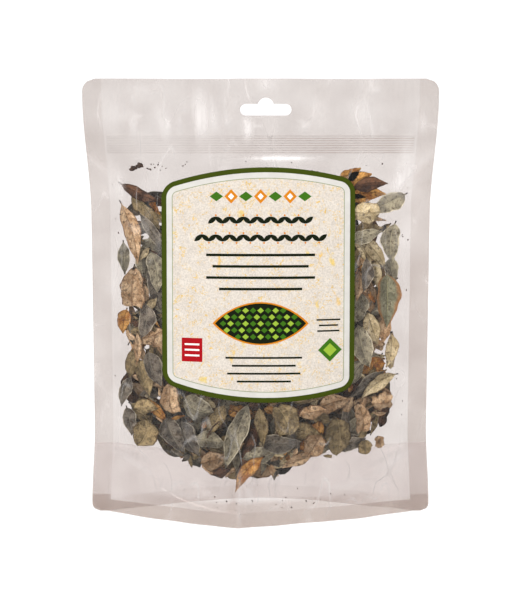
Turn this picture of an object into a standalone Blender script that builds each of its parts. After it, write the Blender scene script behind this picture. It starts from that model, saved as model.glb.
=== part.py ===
"""Clear zip-lock stand-up pouch of dried curry leaves, with a paper label.

Shapes are worked out in millimetres and written to the meshes in metres.
X is the width, -Y the front, +Z up. The pouch stands on the bottom edges of
its two panels, and the origin is the middle of that footprint.
"""

import math
import random

import bmesh
import bpy

MM = 0.001

# Panels
HEIGHT = 280.0
WAIST = 106.3          # half width beside the belly
TOP_FLARE = 4.6        # added half width above the belly
FOOT_FLARE = 2.4       # added half width at the foot
SIDE_SEAL = 12.0
TOP_RADIUS = 8.0
FOOT_RADIUS = 5.0
FILM = 0.3             # film thickness
GAP = 0.3              # clearance between faces that touch
FOOT_LIFT = 1.5        # how far the stiff bottom corners stand off the floor
SKIRT = 3.0            # upright strip along the bottom edge

# Half depth at the middle of the pouch, as (height, depth)
DEPTHS = ((0, 31.7), (3, 31.7), (30, 27), (70, 22.5), (110, 20), (150, 15.8), (190, 9.4),
          (220, 3.8), (232, 2.6), (246, 2.6), (262, 0.9), (280, 0.4))
CREASE_X = -14.0       # where the front bottom edge is folded to a corner
FOUR_LAYERS = 52.0     # height to which the gusset lies between the panels

# Gusset
FOLD = 47.0            # height of its middle fold when the pouch lies flat
SEAL_LOW = 9.0         # height of the curved seal at the middle
SEAL_RISE = 36.0       # how much higher that seal is at the sides

# Hang slot
SLOT_X = 3.2
SLOT_Z = 260.8
SLOT_LENGTH = 32.0
SLOT_HEIGHT = 7.2
SLOT_BUMP_HALF = 4.9
SLOT_BUMP_RISE = 3.8

# Zip
ZIP_Z = 239.0
ZIP_HALF_LENGTH = 84.0
ZIP_STRIP = 11.0
ZIP_HALF_DEPTH = 1.9   # half the thickness of the closed zip
ZIP_BASE = 0.4

# Label
LABEL_X = -1.45
LABEL_HALF = 60.4
LABEL_TOP = 225.3
LABEL_BOTTOM = 79.1
LABEL_ARCH = 0.0026    # drop of the arched ends, per square millimetre from the middle
LABEL_FAN = 0.027      # how much the ends turn apart towards the right
LABEL_CORNER = 7.5
LABEL_THICK = 0.2
LABEL_GAP = 0.4        # clearance over the faceted film

# Leaves
LEAF_THICK = 0.35
LEAF_CLEAR = 0.95      # from the middle of the film to the nearest point of a leaf
MIDDLE_CLEAR = 0.5     # from the middle plane of the pouch to the nearest point of a leaf
FILL_TOP = 219.0
BACK_LEAVES = 18

# Leaves pressed against the front film:
# x, z, direction of the tip in degrees, length, width, kind
FRONT_LEAVES = (
    (-76, 209, -25, 28, 6.3, "brown"), (-81.5, 184.5, -75, 38, 10.5, "tan"),
    (-68, 184, -58, 31, 6, "slate"), (-80.6, 149.5, -95, 24, 15, "tan"),
    (-86.3, 127.5, -100, 16, 8, "golden"), (-73, 128, -97, 22, 10, "slate"),
    (-86, 82, -110, 20, 7, "slate"), (-73.5, 72, 6, 15, 8, "olive"),
    (-73.8, 55.5, -111, 19, 15, "olive"), (-55.5, 55, -63, 22, 11, "slate"),
    (-57, 80, -87, 17, 11, "tan"), (-40, 74, -20, 20, 13, "green"),
    (-15, 58, -110, 44, 11, "green"), (-8, 34.5, -130, 25, 8, "golden"),
    (0.5, 63.5, -83, 22, 7, "olive"), (15, 68, -65, 19, 14, "olive"),
    (33, 71, 9, 17, 8, "tan"), (49.5, 56, -87, 24, 15, "olive"),
    (64.5, 66.5, -78, 17, 9, "tan"), (75, 87, -149, 26, 8, "tan"),
    (77, 75, 0, 12, 9, "tan"), (67, 47.5, -86, 9.8, 8.9, "olive"),
    (84.5, 109, -96, 21, 7.5, "golden"), (64.5, 112, -75, 28, 12, "green"),
    (82, 141.5, -89, 34, 15, "olive"), (66.5, 158, -94, 22, 7, "slate"),
    (85, 178, -94, 24, 12, "green"), (66, 181.5, 17, 20, 8, "green"),
    (66, 197, -1, 16, 11, "tan"), (82.5, 203, -154, 16, 9.5, "green"),
    (68, 214.5, 8, 20, 6.5, "brown"),
)

# Loose leaf stalks: x, z, direction, length
STALKS = ((-77.7, 225.5, 27, 9.5), (-30, 61, 55, 13))

COLOURS = {
    "film": (0.86, 0.83, 0.82), "zip": (0.90, 0.88, 0.87), "label": (0.88, 0.85, 0.76),
    "green": (0.26, 0.27, 0.19), "olive": (0.24, 0.20, 0.11), "tan": (0.49, 0.37, 0.22),
    "golden": (0.42, 0.25, 0.07), "brown": (0.13, 0.07, 0.04), "slate": (0.11, 0.11, 0.11),
    "stalk": (0.05, 0.03, 0.02),
}
ROUGHNESS = {"film": 0.15, "zip": 0.3, "label": 0.5}


def smooth(t):
    """Ease from 0 to 1 as t goes from 0 to 1."""
    t = min(max(t, 0.0), 1.0)
    return t * t * (3.0 - 2.0 * t)


def middle_depth(z):
    """Half depth of the pouch at its middle, a smooth curve through DEPTHS."""
    z = min(max(z, 0.0), HEIGHT)
    last = len(DEPTHS) - 1
    k = next(i for i in range(last) if z <= DEPTHS[i + 1][0])
    slopes = [(b[1] - a[1]) / (b[0] - a[0]) for a, b in zip(DEPTHS, DEPTHS[1:])]

    def tangent(i):
        if i in (0, last) or slopes[i - 1] * slopes[i] <= 0.0:
            return 0.0
        return 2.0 * slopes[i - 1] * slopes[i] / (slopes[i - 1] + slopes[i])

    (z0, d0), (z1, d1) = DEPTHS[k], DEPTHS[k + 1]
    span = z1 - z0
    t = (z - z0) / span
    rise = smooth(t)
    ease_in = t * (1.0 - t) ** 2
    ease_out = t * t * (1.0 - t)
    return d0 + (d1 - d0) * rise + span * (ease_in * tangent(k) - ease_out * tangent(k + 1))


def half_width(z):
    flare_top = TOP_FLARE * smooth((z - 195.0) / 75.0)
    flare_foot = FOOT_FLARE * smooth((60.0 - z) / 55.0)
    return WAIST + flare_top + flare_foot


def corner_inset(z, foot):
    """How far the rounded corners draw the side edge in at height z above the foot."""
    inset = 0.0
    for radius, reach in ((TOP_RADIUS, z - (HEIGHT - TOP_RADIUS)), (FOOT_RADIUS, foot + FOOT_RADIUS - z)):
        if reach > 0.0:
            reach = min(reach, radius)
            inset = radius - math.sqrt(radius * radius - reach * reach)
    return inset


def section(x, z, side):
    """Share of the middle depth that a panel has at x: 1 at its fullest, 0 at the side seals."""
    inner = half_width(z) - SIDE_SEAL
    s = min(abs(x) / inner, 1.0)
    square = 6.0 * smooth((z - 176.0) / 58.0) - 3.0 * smooth((z - 246.0) / 16.0)
    dome = 1.0 - s ** (2.4 + square)
    if side > 0:
        keel = 1.0 - s ** 1.7
    else:
        reach = inner - CREASE_X if x > CREASE_X else inner + CREASE_X
        keel = 1.0 - min(abs(x - CREASE_X) / reach, 1.0) ** 1.15
    blend = smooth((z - SKIRT) / 62.0)
    return keel + (dome - keel) * blend


def depth(x, z, side):
    """Distance of a panel's middle surface from the middle plane; side is -1 front, 1 back."""
    z = max(z, SKIRT)
    layers = 1.0 + 3.0 * smooth((FOUR_LAYERS + 10.0 - z) / 10.0)
    return layers * (FILM + GAP) / 2.0 + middle_depth(z) * section(x, z, side)


def ripple(x, z):
    """Both panels of the header sway together."""
    return 1.6 * math.sin(2.0 * math.pi * (x + 20.0) / 95.0) * smooth((z - 248.0) / 32.0)


def side_x(u, z, trim=0.0):
    """Sideways place of column u, from -1 to 1, with the rounded corners in the seal strips."""
    width = half_width(z)
    seal_share = 1.0 - SIDE_SEAL / WAIST
    inner = width - SIDE_SEAL
    a = abs(u)
    if a <= seal_share:
        x = inner * a / seal_share
    else:
        edge = width - corner_inset(z, trim) - trim
        x = inner + (edge - inner) * (a - seal_share) / (1.0 - seal_share)
    return math.copysign(x, u)


def foot_lift(x, z):
    return FOOT_LIFT * smooth((abs(x) - 60.0) / 45.0) * (1.0 - smooth(z / 60.0))


def columns():
    """Column places from -1 to 1, closer together towards the side seals."""
    seal_share = 1.0 - SIDE_SEAL / WAIST
    count = 10
    half = [seal_share * math.sin(0.5 * math.pi * k / count) for k in range(1, count + 1)]
    half += [seal_share + (1.0 - seal_share) * k / 2 for k in (1, 2)]
    return [-u for u in reversed(half)] + [0.0] + half


def film_rows():
    foot = [0.0, 1.0, SKIRT, FOOT_RADIUS, SEAL_LOW, 20.0, 34.0, 45.0, 53.0, 63.0]
    belly = [80.0, 98.0, 116.0, 134.0, 152.0, 169.0, 184.0, 194.0, 203.0, 211.0, 218.5, 225.0, 231.0]
    header = [ZIP_Z, 247.0, 256.0, 264.5, 272.0, 276.5, 279.2, HEIGHT]
    return foot + belly + header


def collection(name):
    made = bpy.data.collections.new(name)
    bpy.context.scene.collection.children.link(made)
    return made


def material(kind):
    made = bpy.data.materials.get(kind)
    if made is None:
        made = bpy.data.materials.new(kind)
        made.use_nodes = True
        shader = made.node_tree.nodes["Principled BSDF"]
        shader.inputs["Base Color"].default_value = (*COLOURS[kind], 1.0)
        shader.inputs["Roughness"].default_value = ROUGHNESS.get(kind, 0.7)
        shader.inputs["Metallic"].default_value = 0.0
    return made


def sheet(name, kind, across, along, place, thick):
    """A grid of columns and rows laid out by place(column, row), given its thickness."""
    bpy.ops.mesh.primitive_grid_add(x_subdivisions=len(across) - 1, y_subdivisions=len(along) - 1, size=2.0)
    obj = bpy.context.object
    obj.name = name
    obj.data.name = name
    cells_x = len(across) - 1
    cells_y = len(along) - 1
    for vertex in obj.data.vertices:
        i = round((vertex.co.x + 1.0) / 2.0 * cells_x)
        j = round((vertex.co.y + 1.0) / 2.0 * cells_y)
        x, y, z = place(across[i], along[j])
        vertex.co = (x * MM, y * MM, z * MM)
    obj.data.update()
    wall = obj.modifiers.new("thickness", "SOLIDIFY")
    wall.thickness = thick * MM
    wall.offset = 0.0
    finish(obj, kind)
    return obj


def finish(obj, kind):
    obj.data.materials.append(material(kind))
    for holder in list(obj.users_collection):
        holder.objects.unlink(obj)
    PARTS.objects.link(obj)


def outline(name, points, half_length, turn, location, holder):
    """A flat outline extruded both ways along its own normal, as a curve object."""
    curve = bpy.data.curves.new(name, "CURVE")
    curve.dimensions = "2D"
    curve.fill_mode = "BOTH"
    curve.extrude = half_length * MM
    spline = curve.splines.new("POLY")
    spline.points.add(len(points) - 1)
    for point, (a, b) in zip(spline.points, points):
        point.co = (a * MM, b * MM, 0.0, 1.0)
    spline.use_cyclic_u = True
    obj = bpy.data.objects.new(name, curve)
    obj.rotation_euler = turn
    obj.location = [c * MM for c in location]
    holder.objects.link(obj)
    return obj


def as_mesh(obj):
    """The same shape as a mesh object, with its loose caps welded."""
    depsgraph = bpy.context.evaluated_depsgraph_get()
    mesh = bpy.data.meshes.new_from_object(obj.evaluated_get(depsgraph))
    bm = bmesh.new()
    bm.from_mesh(mesh)
    bmesh.ops.remove_doubles(bm, verts=bm.verts, dist=0.00001)
    bm.to_mesh(mesh)
    bm.free()
    name = obj.name
    made = bpy.data.objects.new(name + "_mesh", mesh)
    made.matrix_world = obj.matrix_world.copy()
    obj.users_collection[0].objects.link(made)
    bpy.data.objects.remove(obj, do_unlink=True)
    made.name = name
    return made


def arc(cx, cy, radius, start, end, steps):
    turns = [math.radians(start + (end - start) * k / steps) for k in range(steps + 1)]
    return [(cx + radius * math.cos(t), cy + radius * math.sin(t)) for t in turns]


def slot_cutter():
    """The hang slot: a bar with round ends and a round bump above its middle."""
    end = SLOT_HEIGHT / 2.0
    middle = SLOT_LENGTH / 2.0 - end
    radius = (SLOT_BUMP_HALF ** 2 + SLOT_BUMP_RISE ** 2) / (2.0 * SLOT_BUMP_RISE)
    centre = end + SLOT_BUMP_RISE - radius
    spread = math.degrees(math.acos(SLOT_BUMP_HALF / radius))
    points = arc(middle, 0.0, end, -90.0, 90.0, 8)
    points += arc(0.0, centre, radius, spread, 180.0 - spread, 8)
    points += arc(-middle, 0.0, end, 90.0, 270.0, 8)
    cutter = outline("slot_cutter", points, 12.0, (math.pi / 2.0, 0.0, 0.0), (SLOT_X, 0.0, SLOT_Z), CUTTERS)
    bpy.context.view_layer.update()
    cutter = as_mesh(cutter)
    cutter.hide_render = True
    cutter.display_type = "WIRE"
    return cutter


def panel(name, side, cutter):
    """Front or back panel, from the floor to the top edge, with the hang slot through it."""
    def place(u, z):
        x = side_x(u, z)
        return x, side * depth(x, z, side) + ripple(x, z), z + foot_lift(x, z)

    obj = sheet(name, "film", columns(), film_rows(), place, FILM)
    cut = obj.modifiers.new("hang_slot", "BOOLEAN")
    cut.operation = "DIFFERENCE"
    cut.solver = "EXACT"
    cut.object = cutter
    return obj


def gusset_seal(x):
    """Height of the curved seal between the gusset and a panel."""
    s = min(abs(x) / (half_width(0.0) - SIDE_SEAL), 1.0)
    return SEAL_LOW + SEAL_RISE * s ** 3


def gusset_ridge(x):
    """Height of the gusset's middle fold, from the length of film between seal and fold."""
    seal = gusset_seal(x)
    reach = 0.5 * (depth(x, seal, -1) + depth(x, seal, 1)) - FILM - GAP
    slack = max((FOLD - seal) ** 2 - reach * reach, 1.0)
    return seal + math.sqrt(slack)


def bottom_gusset():
    """One sheet folded up between the panels: two flaps sealed to them and a raised middle."""
    edge = GAP
    trim = 0.6
    flap = [0.0, 0.1, 0.5, 1.0]
    web = [1.25, 1.5, 1.75]
    path = [t - 2.0 for t in flap + web] + [0.0] + [2.0 - t for t in reversed(flap + web)]

    def place(u, t):
        side = -1 if t <= 0.0 else 1
        along = 2.0 - abs(t)
        x = side_x(u, FOOT_RADIUS, trim)
        seal = gusset_seal(x)
        if along <= 1.0:
            z = edge + (seal - edge) * along
            x = side_x(u, z, trim)
            y = depth(x, z, side) - FILM - GAP
        else:
            share = along - 1.0
            y = (depth(x, seal, side) - FILM - GAP) * (1.0 - share)
            z = seal + (gusset_ridge(x) - seal) * share
            x = side_x(u, z, trim)
        return x, side * y, z + foot_lift(x, z)

    return sheet("bottom_gusset", "film", columns(), path, place, FILM)


def zip_tracks():
    """The press-to-close zip: a ribbed track on the front panel and a grooved one on the back."""
    strip = ZIP_STRIP / 2.0
    back = ZIP_HALF_DEPTH
    face = back - ZIP_BASE
    neck = 0.35
    barb = 0.8
    rib = [(-back, -strip), (-face, -strip), (-face, -neck), (0.1, -neck), (0.1, -barb), (0.85, -0.3),
           (0.85, 0.3), (0.1, barb), (0.1, neck), (-face, neck), (-face, strip), (-back, strip)]
    arm_in = barb + GAP
    arm_out = arm_in + 0.4
    lip = neck + GAP
    half_groove = [(face, arm_in), (-0.2, arm_in), (-0.2, lip), (-0.5, lip), (-0.5, arm_out), (face, arm_out),
                   (face, strip), (back, strip)]
    groove = half_groove + [(y, -z) for y, z in reversed(half_groove)]
    turn = (math.pi / 2.0, 0.0, math.pi / 2.0)
    for name, points in (("zip_rib_track", rib), ("zip_groove_track", groove)):
        obj = outline(name, points, ZIP_HALF_LENGTH, turn, (0.0, 0.0, ZIP_Z), PARTS)
        obj.data.materials.append(material("zip"))


def label_corner(d):
    """How far the rounded corners cut into the label's ends at d from its middle."""
    reach = abs(d) - (LABEL_HALF - LABEL_CORNER)
    if reach <= 0.0:
        return 0.0
    return LABEL_CORNER - math.sqrt(max(LABEL_CORNER ** 2 - reach * reach, 0.0))


def front_label():
    """Paper label with arched ends, following the front panel."""
    corner = [LABEL_HALF - LABEL_CORNER * e for e in (1.0, 0.5, 0.18, 0.05, 0.0)]
    cells = 8
    flat = [corner[0] * (2.0 * k / cells - 1.0) for k in range(1, cells)]
    across = [-d for d in reversed(corner)] + flat + corner
    along = [k / 16.0 for k in range(17)]
    stand_off = FILM / 2.0 + LABEL_GAP + LABEL_THICK / 2.0

    def place(d, t):
        top = LABEL_TOP + LABEL_FAN * d - LABEL_ARCH * d * d - label_corner(d)
        bottom = LABEL_BOTTOM - LABEL_FAN * d + LABEL_ARCH * d * d + label_corner(d)
        x = LABEL_X + d
        z = bottom + (top - bottom) * t
        return x, -depth(x, z, -1) - stand_off, z

    return sheet("front_label", "label", across, along, place, LABEL_THICK)


def leaf(name, side, x0, z0, turn, length, width, kind, rng):
    """A dried leaflet folded along its midrib, lying against a panel from the inside."""
    across = math.cos(math.radians(turn))
    up = math.sin(math.radians(turn))
    fold = rng.uniform(0.2, 1.0) + 0.08 * width
    curl = rng.uniform(0.3, 1.6)
    bend = rng.uniform(-0.06, 0.06) * length

    def place(u, v):
        swell = max(1.0 - abs(u + 0.12 * (1.0 - u * u)) ** 2.2, 0.0) ** 0.75
        a = 0.5 * length * u
        b = 0.5 * width * v * max(swell, 0.1) + bend * (u * u - 0.4)
        x = x0 + a * across - b * up
        z = z0 + a * up + b * across
        wall = depth(x, z, side)
        inward = LEAF_CLEAR + fold * abs(v) * swell + curl * u * u
        return x, side * (wall - min(inward, wall - MIDDLE_CLEAR)), z

    along = [k / 4.0 - 1.0 for k in range(9)]
    return sheet(name, kind, along, [-1.0, 0.0, 1.0], place, LEAF_THICK)


def fill_floor(x):
    """Lowest height that the leaves reach, where they rest on the gusset."""
    reach = 96.0 if x > CREASE_X else 66.0
    return 25.0 + 32.0 * (abs(x - CREASE_X) / reach) ** 1.6


def leaf_ends(x, z, turn, length):
    a = 0.5 * length * math.cos(math.radians(turn))
    b = 0.5 * length * math.sin(math.radians(turn))
    return (x - a, z - b), (x + a, z + b)


def clear_of(candidate, placed):
    """Whether a leaf keeps clear of those already placed, each taken as a row of discs."""
    def discs(item):
        x, z, turn, length, width, _ = item
        (xa, za), (xb, zb) = leaf_ends(x, z, turn, length - width * 0.6)
        return [(xa + (xb - xa) * k / 6, za + (zb - za) * k / 6, width / 2.0) for k in range(7)]

    for other in placed:
        for xa, za, ra in discs(candidate):
            for xb, zb, rb in discs(other):
                if math.hypot(xa - xb, za - zb) < ra + rb + 1.5:
                    return False
    return True


def scattered(rng, count):
    """Leaves thrown at random into the fill, none over another."""
    kinds = ("green", "olive", "slate", "tan", "green", "olive", "golden", "brown")
    placed = []
    while len(placed) < count:
        length = rng.uniform(24.0, 38.0)
        item = (rng.uniform(-82.0, 82.0), rng.uniform(36.0, FILL_TOP - 12.0), rng.uniform(0.0, 360.0),
                length, length * rng.uniform(0.3, 0.42), kinds[len(placed) % len(kinds)])
        ends = leaf_ends(*item[:4])
        inside = all(abs(x) < 88.0 and fill_floor(x) + 4.0 < z < FILL_TOP for x, z in ends)
        if inside and clear_of(item, placed):
            placed.append(item)
    return placed


def stalk(name, x0, z0, turn, length):
    """A loose leaf stalk: a short curved rod just inside the front panel."""
    curve = bpy.data.curves.new(name, "CURVE")
    curve.dimensions = "3D"
    curve.bevel_depth = 0.5 * MM
    curve.bevel_resolution = 1
    curve.use_fill_caps = True
    spline = curve.splines.new("POLY")
    steps = 5
    spline.points.add(steps)
    for k, point in enumerate(spline.points):
        u = 2.0 * k / steps - 1.0
        a = 0.5 * length * u
        b = 0.08 * length * (1.0 - u * u)
        x = x0 + a * math.cos(math.radians(turn)) - b * math.sin(math.radians(turn))
        z = z0 + a * math.sin(math.radians(turn)) + b * math.cos(math.radians(turn))
        y = -depth(x, z, -1) + FILM / 2.0 + GAP + 0.7
        point.co = (x * MM, y * MM, z * MM, 1.0)
    obj = bpy.data.objects.new(name, curve)
    PARTS.objects.link(obj)
    curve.materials.append(material("stalk"))


for leftover in list(bpy.data.objects):
    bpy.data.objects.remove(leftover, do_unlink=True)
PARTS = collection("curry_leaf_pouch")
CUTTERS = collection("cutters")

slot = slot_cutter()
panel("front_film", -1, slot)
panel("back_film", 1, slot)
bottom_gusset()
zip_tracks()
front_label()

chance = random.Random(25)
for number, item in enumerate(FRONT_LEAVES, 1):
    leaf(f"front_leaf_{number:02d}", -1, *item, chance)
for number, item in enumerate(scattered(chance, BACK_LEAVES), 1):
    leaf(f"back_leaf_{number:02d}", 1, *item, chance)
for number, item in enumerate(STALKS, 1):
    stalk(f"leaf_stalk_{number}", *item)
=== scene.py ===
import functools
import math
import random

import bpy
import numpy as np
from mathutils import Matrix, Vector


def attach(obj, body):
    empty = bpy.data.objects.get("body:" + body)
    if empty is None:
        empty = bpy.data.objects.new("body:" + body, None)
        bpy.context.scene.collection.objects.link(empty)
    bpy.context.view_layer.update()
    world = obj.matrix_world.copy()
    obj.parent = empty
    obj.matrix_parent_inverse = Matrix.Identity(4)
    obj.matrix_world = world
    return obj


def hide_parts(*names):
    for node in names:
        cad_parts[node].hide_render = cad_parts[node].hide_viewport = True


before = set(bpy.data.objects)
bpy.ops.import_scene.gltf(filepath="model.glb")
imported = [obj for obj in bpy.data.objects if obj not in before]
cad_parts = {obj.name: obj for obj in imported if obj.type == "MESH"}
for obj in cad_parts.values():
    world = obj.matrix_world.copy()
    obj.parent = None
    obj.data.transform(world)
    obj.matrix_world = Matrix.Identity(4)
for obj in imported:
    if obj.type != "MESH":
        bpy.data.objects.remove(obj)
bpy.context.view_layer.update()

bl_info = {
    "name": "Leaf pouch looks",
    "version": (1, 0, 0),
    "blender": (4, 5, 0),
    "location": "View3D > Sidebar > Leaf pouch",
    "description": "Film, zip, label and dried leaves of a clear stand-up pouch",
    "category": "Object",
}

MM = 0.001

# Panels. Sizes and places here are in millimetres: x to the right, z up
HEIGHT = 280.0
WAIST = 106.3          # half width at the narrowest
TOP_FLARE = 4.6
FOOT_FLARE = 2.4
SIDE_SEAL = 12.0
SEAL_SHARE = 1.0 - SIDE_SEAL / WAIST
TOP_RADIUS = 8.0
FOOT_RADIUS = 5.0
PLY = 0.3              # room that one film takes, with the gap to the next
FOOT_LIFT = 1.5        # of the corners off the floor
SKIRT = 3.0            # upright edge below the bulge
# Height and half depth at the middle
DEPTHS = ((0, 31.7), (3, 31.7), (30, 27), (70, 22.5), (110, 20), (150, 15.8), (190, 9.4),
          (220, 3.8), (232, 2.6), (246, 2.6), (262, 0.9), (280, 0.4))
CREASE_X = -14.0       # upright crease in the front's foot
FOUR_LAYERS = 52.0     # below this the gusset lies between the panels' sides
FOLD = 47.0            # length of a gusset flap, from foot to fold
SEAL_LOW = 9.0         # height of the gusset's seal at the middle
SEAL_RISE = 36.0       # and how much higher it ends at the sides
SEAL_TOP = 13.0
SEAL_COLUMNS = 6
BACK_DENTS_AND_HIGHLIGHTS = 0.25      # strength of the back's dents and painted highlights against the front's

# Hang slot
SLOT_X = 3.2
SLOT_Z = 260.8
SLOT_LENGTH = 32.0
SLOT_HEIGHT = 7.2
SLOT_BUMP_HALF = 4.9
SLOT_BUMP_RISE = 3.8
ARC_STEPS = 12
CUT_DEPTH = 14.0

# Zip
ZIP_Z = 239.0
ZIP_HALF_LENGTH = 84.0
ZIP_STRIP = 11.0
ZIP_HALF_DEPTH = 1.9
ZIP_PITCH = 1.5
ZIP_TAIL = 12.0        # flattened run on to each side seal
ZIP_WALL = 0.22

# Label
LABEL_X = -1.45
LABEL_HALF = 60.4
LABEL_TOP = 225.3
LABEL_BOTTOM = 79.1
LABEL_ARCH = 0.0026
LABEL_FAN = 0.027
LABEL_CORNER = 7.5
LABEL_OFF = 0.65       # from the middle of the film to the middle of the paper
LINE_WIDTH = 0.45      # thin line inside the white band
INK_WALL = 0.02
TOP_PRINT = 0.28       # of print that lies on other print, off the paper's middle
CHECK_Z = 129.0        # middle of the lens-shaped check

# Fill
LEAF_CLEAR = 0.95      # from the middle of the film to a leaf
MIDDLE_CLEAR = 0.5     # from the pouch's middle plane to a leaf
STALK_HALF = 0.4       # half width of a leaf's stalk
LEAF_GAP = 0.2         # between leaves that lie one behind the other
PILE_HALF = 110        # reach of the map of a pile to each side
PILE_TOP = 240         # and upwards

# Small folds in the film: x and z of both ends, height, half width
FRONT_FOLDS = (
    (-14, 1, -13, 36, 1.1, 1.6), (-13, 229.6, 41, 230.6, 0.75, 1.7), (109, 236, 76, 205, 0.8, 3.2),
    (109, 222, 92, 214, 0.5, 2.0), (-108, 232, -97, 222, 0.6, 2.2), (-101, 150, -93, 146, 0.35, 1.6),
    (-100, 96, -90, 90, 0.4, 1.6), (99, 78, 91, 70, 0.4, 1.6), (100, 138, 93, 134, 0.35, 1.5),
    (-96, 44, -70, 30, 0.6, 2.2), (96, 42, 74, 30, 0.6, 2.4), (-60, 22, -40, 14, 0.5, 2.4),
    (40, 20, 74, 26, 0.45, 2.6), (-90, 66, -84, 40, 0.5, 2.2), (93, 60, 88, 36, 0.5, 2.2),
    (-64, 262, -60, 246, 0.7, 2.2), (-51, 258, -50, 245, 0.6, 1.8), (-31, 268, -26, 244, 0.9, 2.6),
    (-9, 254, -7, 245, 0.7, 1.8), (64, 262, 70, 248, 0.5, 2.6),
)
BACK_FOLDS = (
    (10, 1, 12, 38, 1.0, 1.8), (-108, 236, -80, 206, 0.8, 3.0), (107, 230, 90, 212, 0.6, 2.4),
    (-96, 44, -72, 30, 0.6, 2.2), (94, 42, 72, 28, 0.6, 2.4), (-50, 200, -10, 214, 0.5, 2.6),
    (40, 216, 74, 196, 0.5, 2.4), (-90, 120, -80, 96, 0.4, 2.0), (88, 150, 80, 120, 0.4, 2.0),
)
# Milky dents in the film, partly painted highlights: x, z, half width, half height, strength
DENTS_AND_HIGHLIGHTS = (
    (-79, 250, 2.4, 6.5, 0.45), (-58, 249, 2.6, 7, 0.4), (-38, 258, 4.0, 15, 0.7),
    (-33, 252, 5.5, 12, 0.3), (-8, 250, 3.8, 8, 0.6), (4, 277, 6, 6, 0.5), (101, 252, 3, 7, 0.4),
    (62, 258, 6, 9, 0.25), (92, 228, 6, 18, 0.45), (-92, 262, 8, 10, 0.2), (36, 262, 7, 9, 0.15),
    (-78, 274, 10, 5, 0.2), (12, 231, 17, 1.1, 1.9), (86, 218, 3, 9, 0.4), (-88, 212, 2.5, 9, 0.4),
    (-92, 140, 2, 30, 0.15), (91, 150, 2, 34, 0.2), (-7, 22, 2.6, 9, 0.3), (-70, 196, 2.2, 10, 0.12),
    (-64, 176, 2.2, 9, 0.15), (76, 190, 2.2, 12, 0.1), (-46, 62, 2.6, 9, 0.1),
    (20, 58, 2.6, 10, 0.08),
)

# Leaves pressed against the front film:
# x, z, direction of the tip in degrees, length, width, kind, cut
FRONT_LEAVES = (
    (-76, 209, -25, 29, 7.5, "brown", "lance"), (-81.5, 184.5, -75, 42, 11, "tan", "lance"),
    (-68, 184, -58, 32, 7, "slate", "lance"), (-80.6, 149.5, -95, 25, 15.5, "tan", "broken"),
    (-86.3, 127.5, -100, 17, 9, "golden", "ovate"), (-73, 128, -97, 24, 11, "slate", "ovate"),
    (-86, 82, -110, 22, 8, "slate", "lance"), (-73.5, 72, 6, 17, 10, "olive", "ovate"),
    (-73.8, 55.5, -111, 20, 16.5, "olive", "round"), (-55.5, 55, -63, 27, 14, "slate", "ovate"),
    (-57, 80, -87, 19, 12, "tan", "broken"), (-40, 74, -20, 22, 15, "green", "ovate"),
    (-15, 58, -110, 47, 12.5, "green", "lance"), (-8, 34.5, -130, 29, 9, "golden", "lance"),
    (0.5, 63.5, -83, 26, 8.5, "olive", "lance"), (15, 68, -65, 20, 17, "olive", "broken"),
    (33, 71, 9, 20, 9, "tan", "lance"), (49.5, 56, -87, 26, 16.5, "olive", "round"),
    (64.5, 66.5, -78, 19, 10, "tan", "broken"), (75, 87, -149, 28, 9, "cream", "lance"),
    (77, 75, 0, 14, 11, "tan", "ragged"), (67, 47.5, -86, 10.2, 9.2, "olive", "round"),
    (82.5, 109, -96, 23, 8.5, "cream", "lance"), (64.5, 112, -75, 30, 14, "green", "ovate"),
    (80, 141.5, -89, 37, 15.5, "rimmed", "ovate"), (66.5, 158, -94, 23, 8, "slate", "lance"),
    (82.5, 178, -94, 27, 12, "green", "ovate"), (66, 181.5, 17, 21, 9, "green", "ovate"),
    (66, 197, -1, 18, 13.5, "cream", "round"), (80.5, 203, -154, 26, 12, "green", "ovate"),
    (68, 214.5, 8, 23, 9, "brown", "lance"),
)
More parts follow.
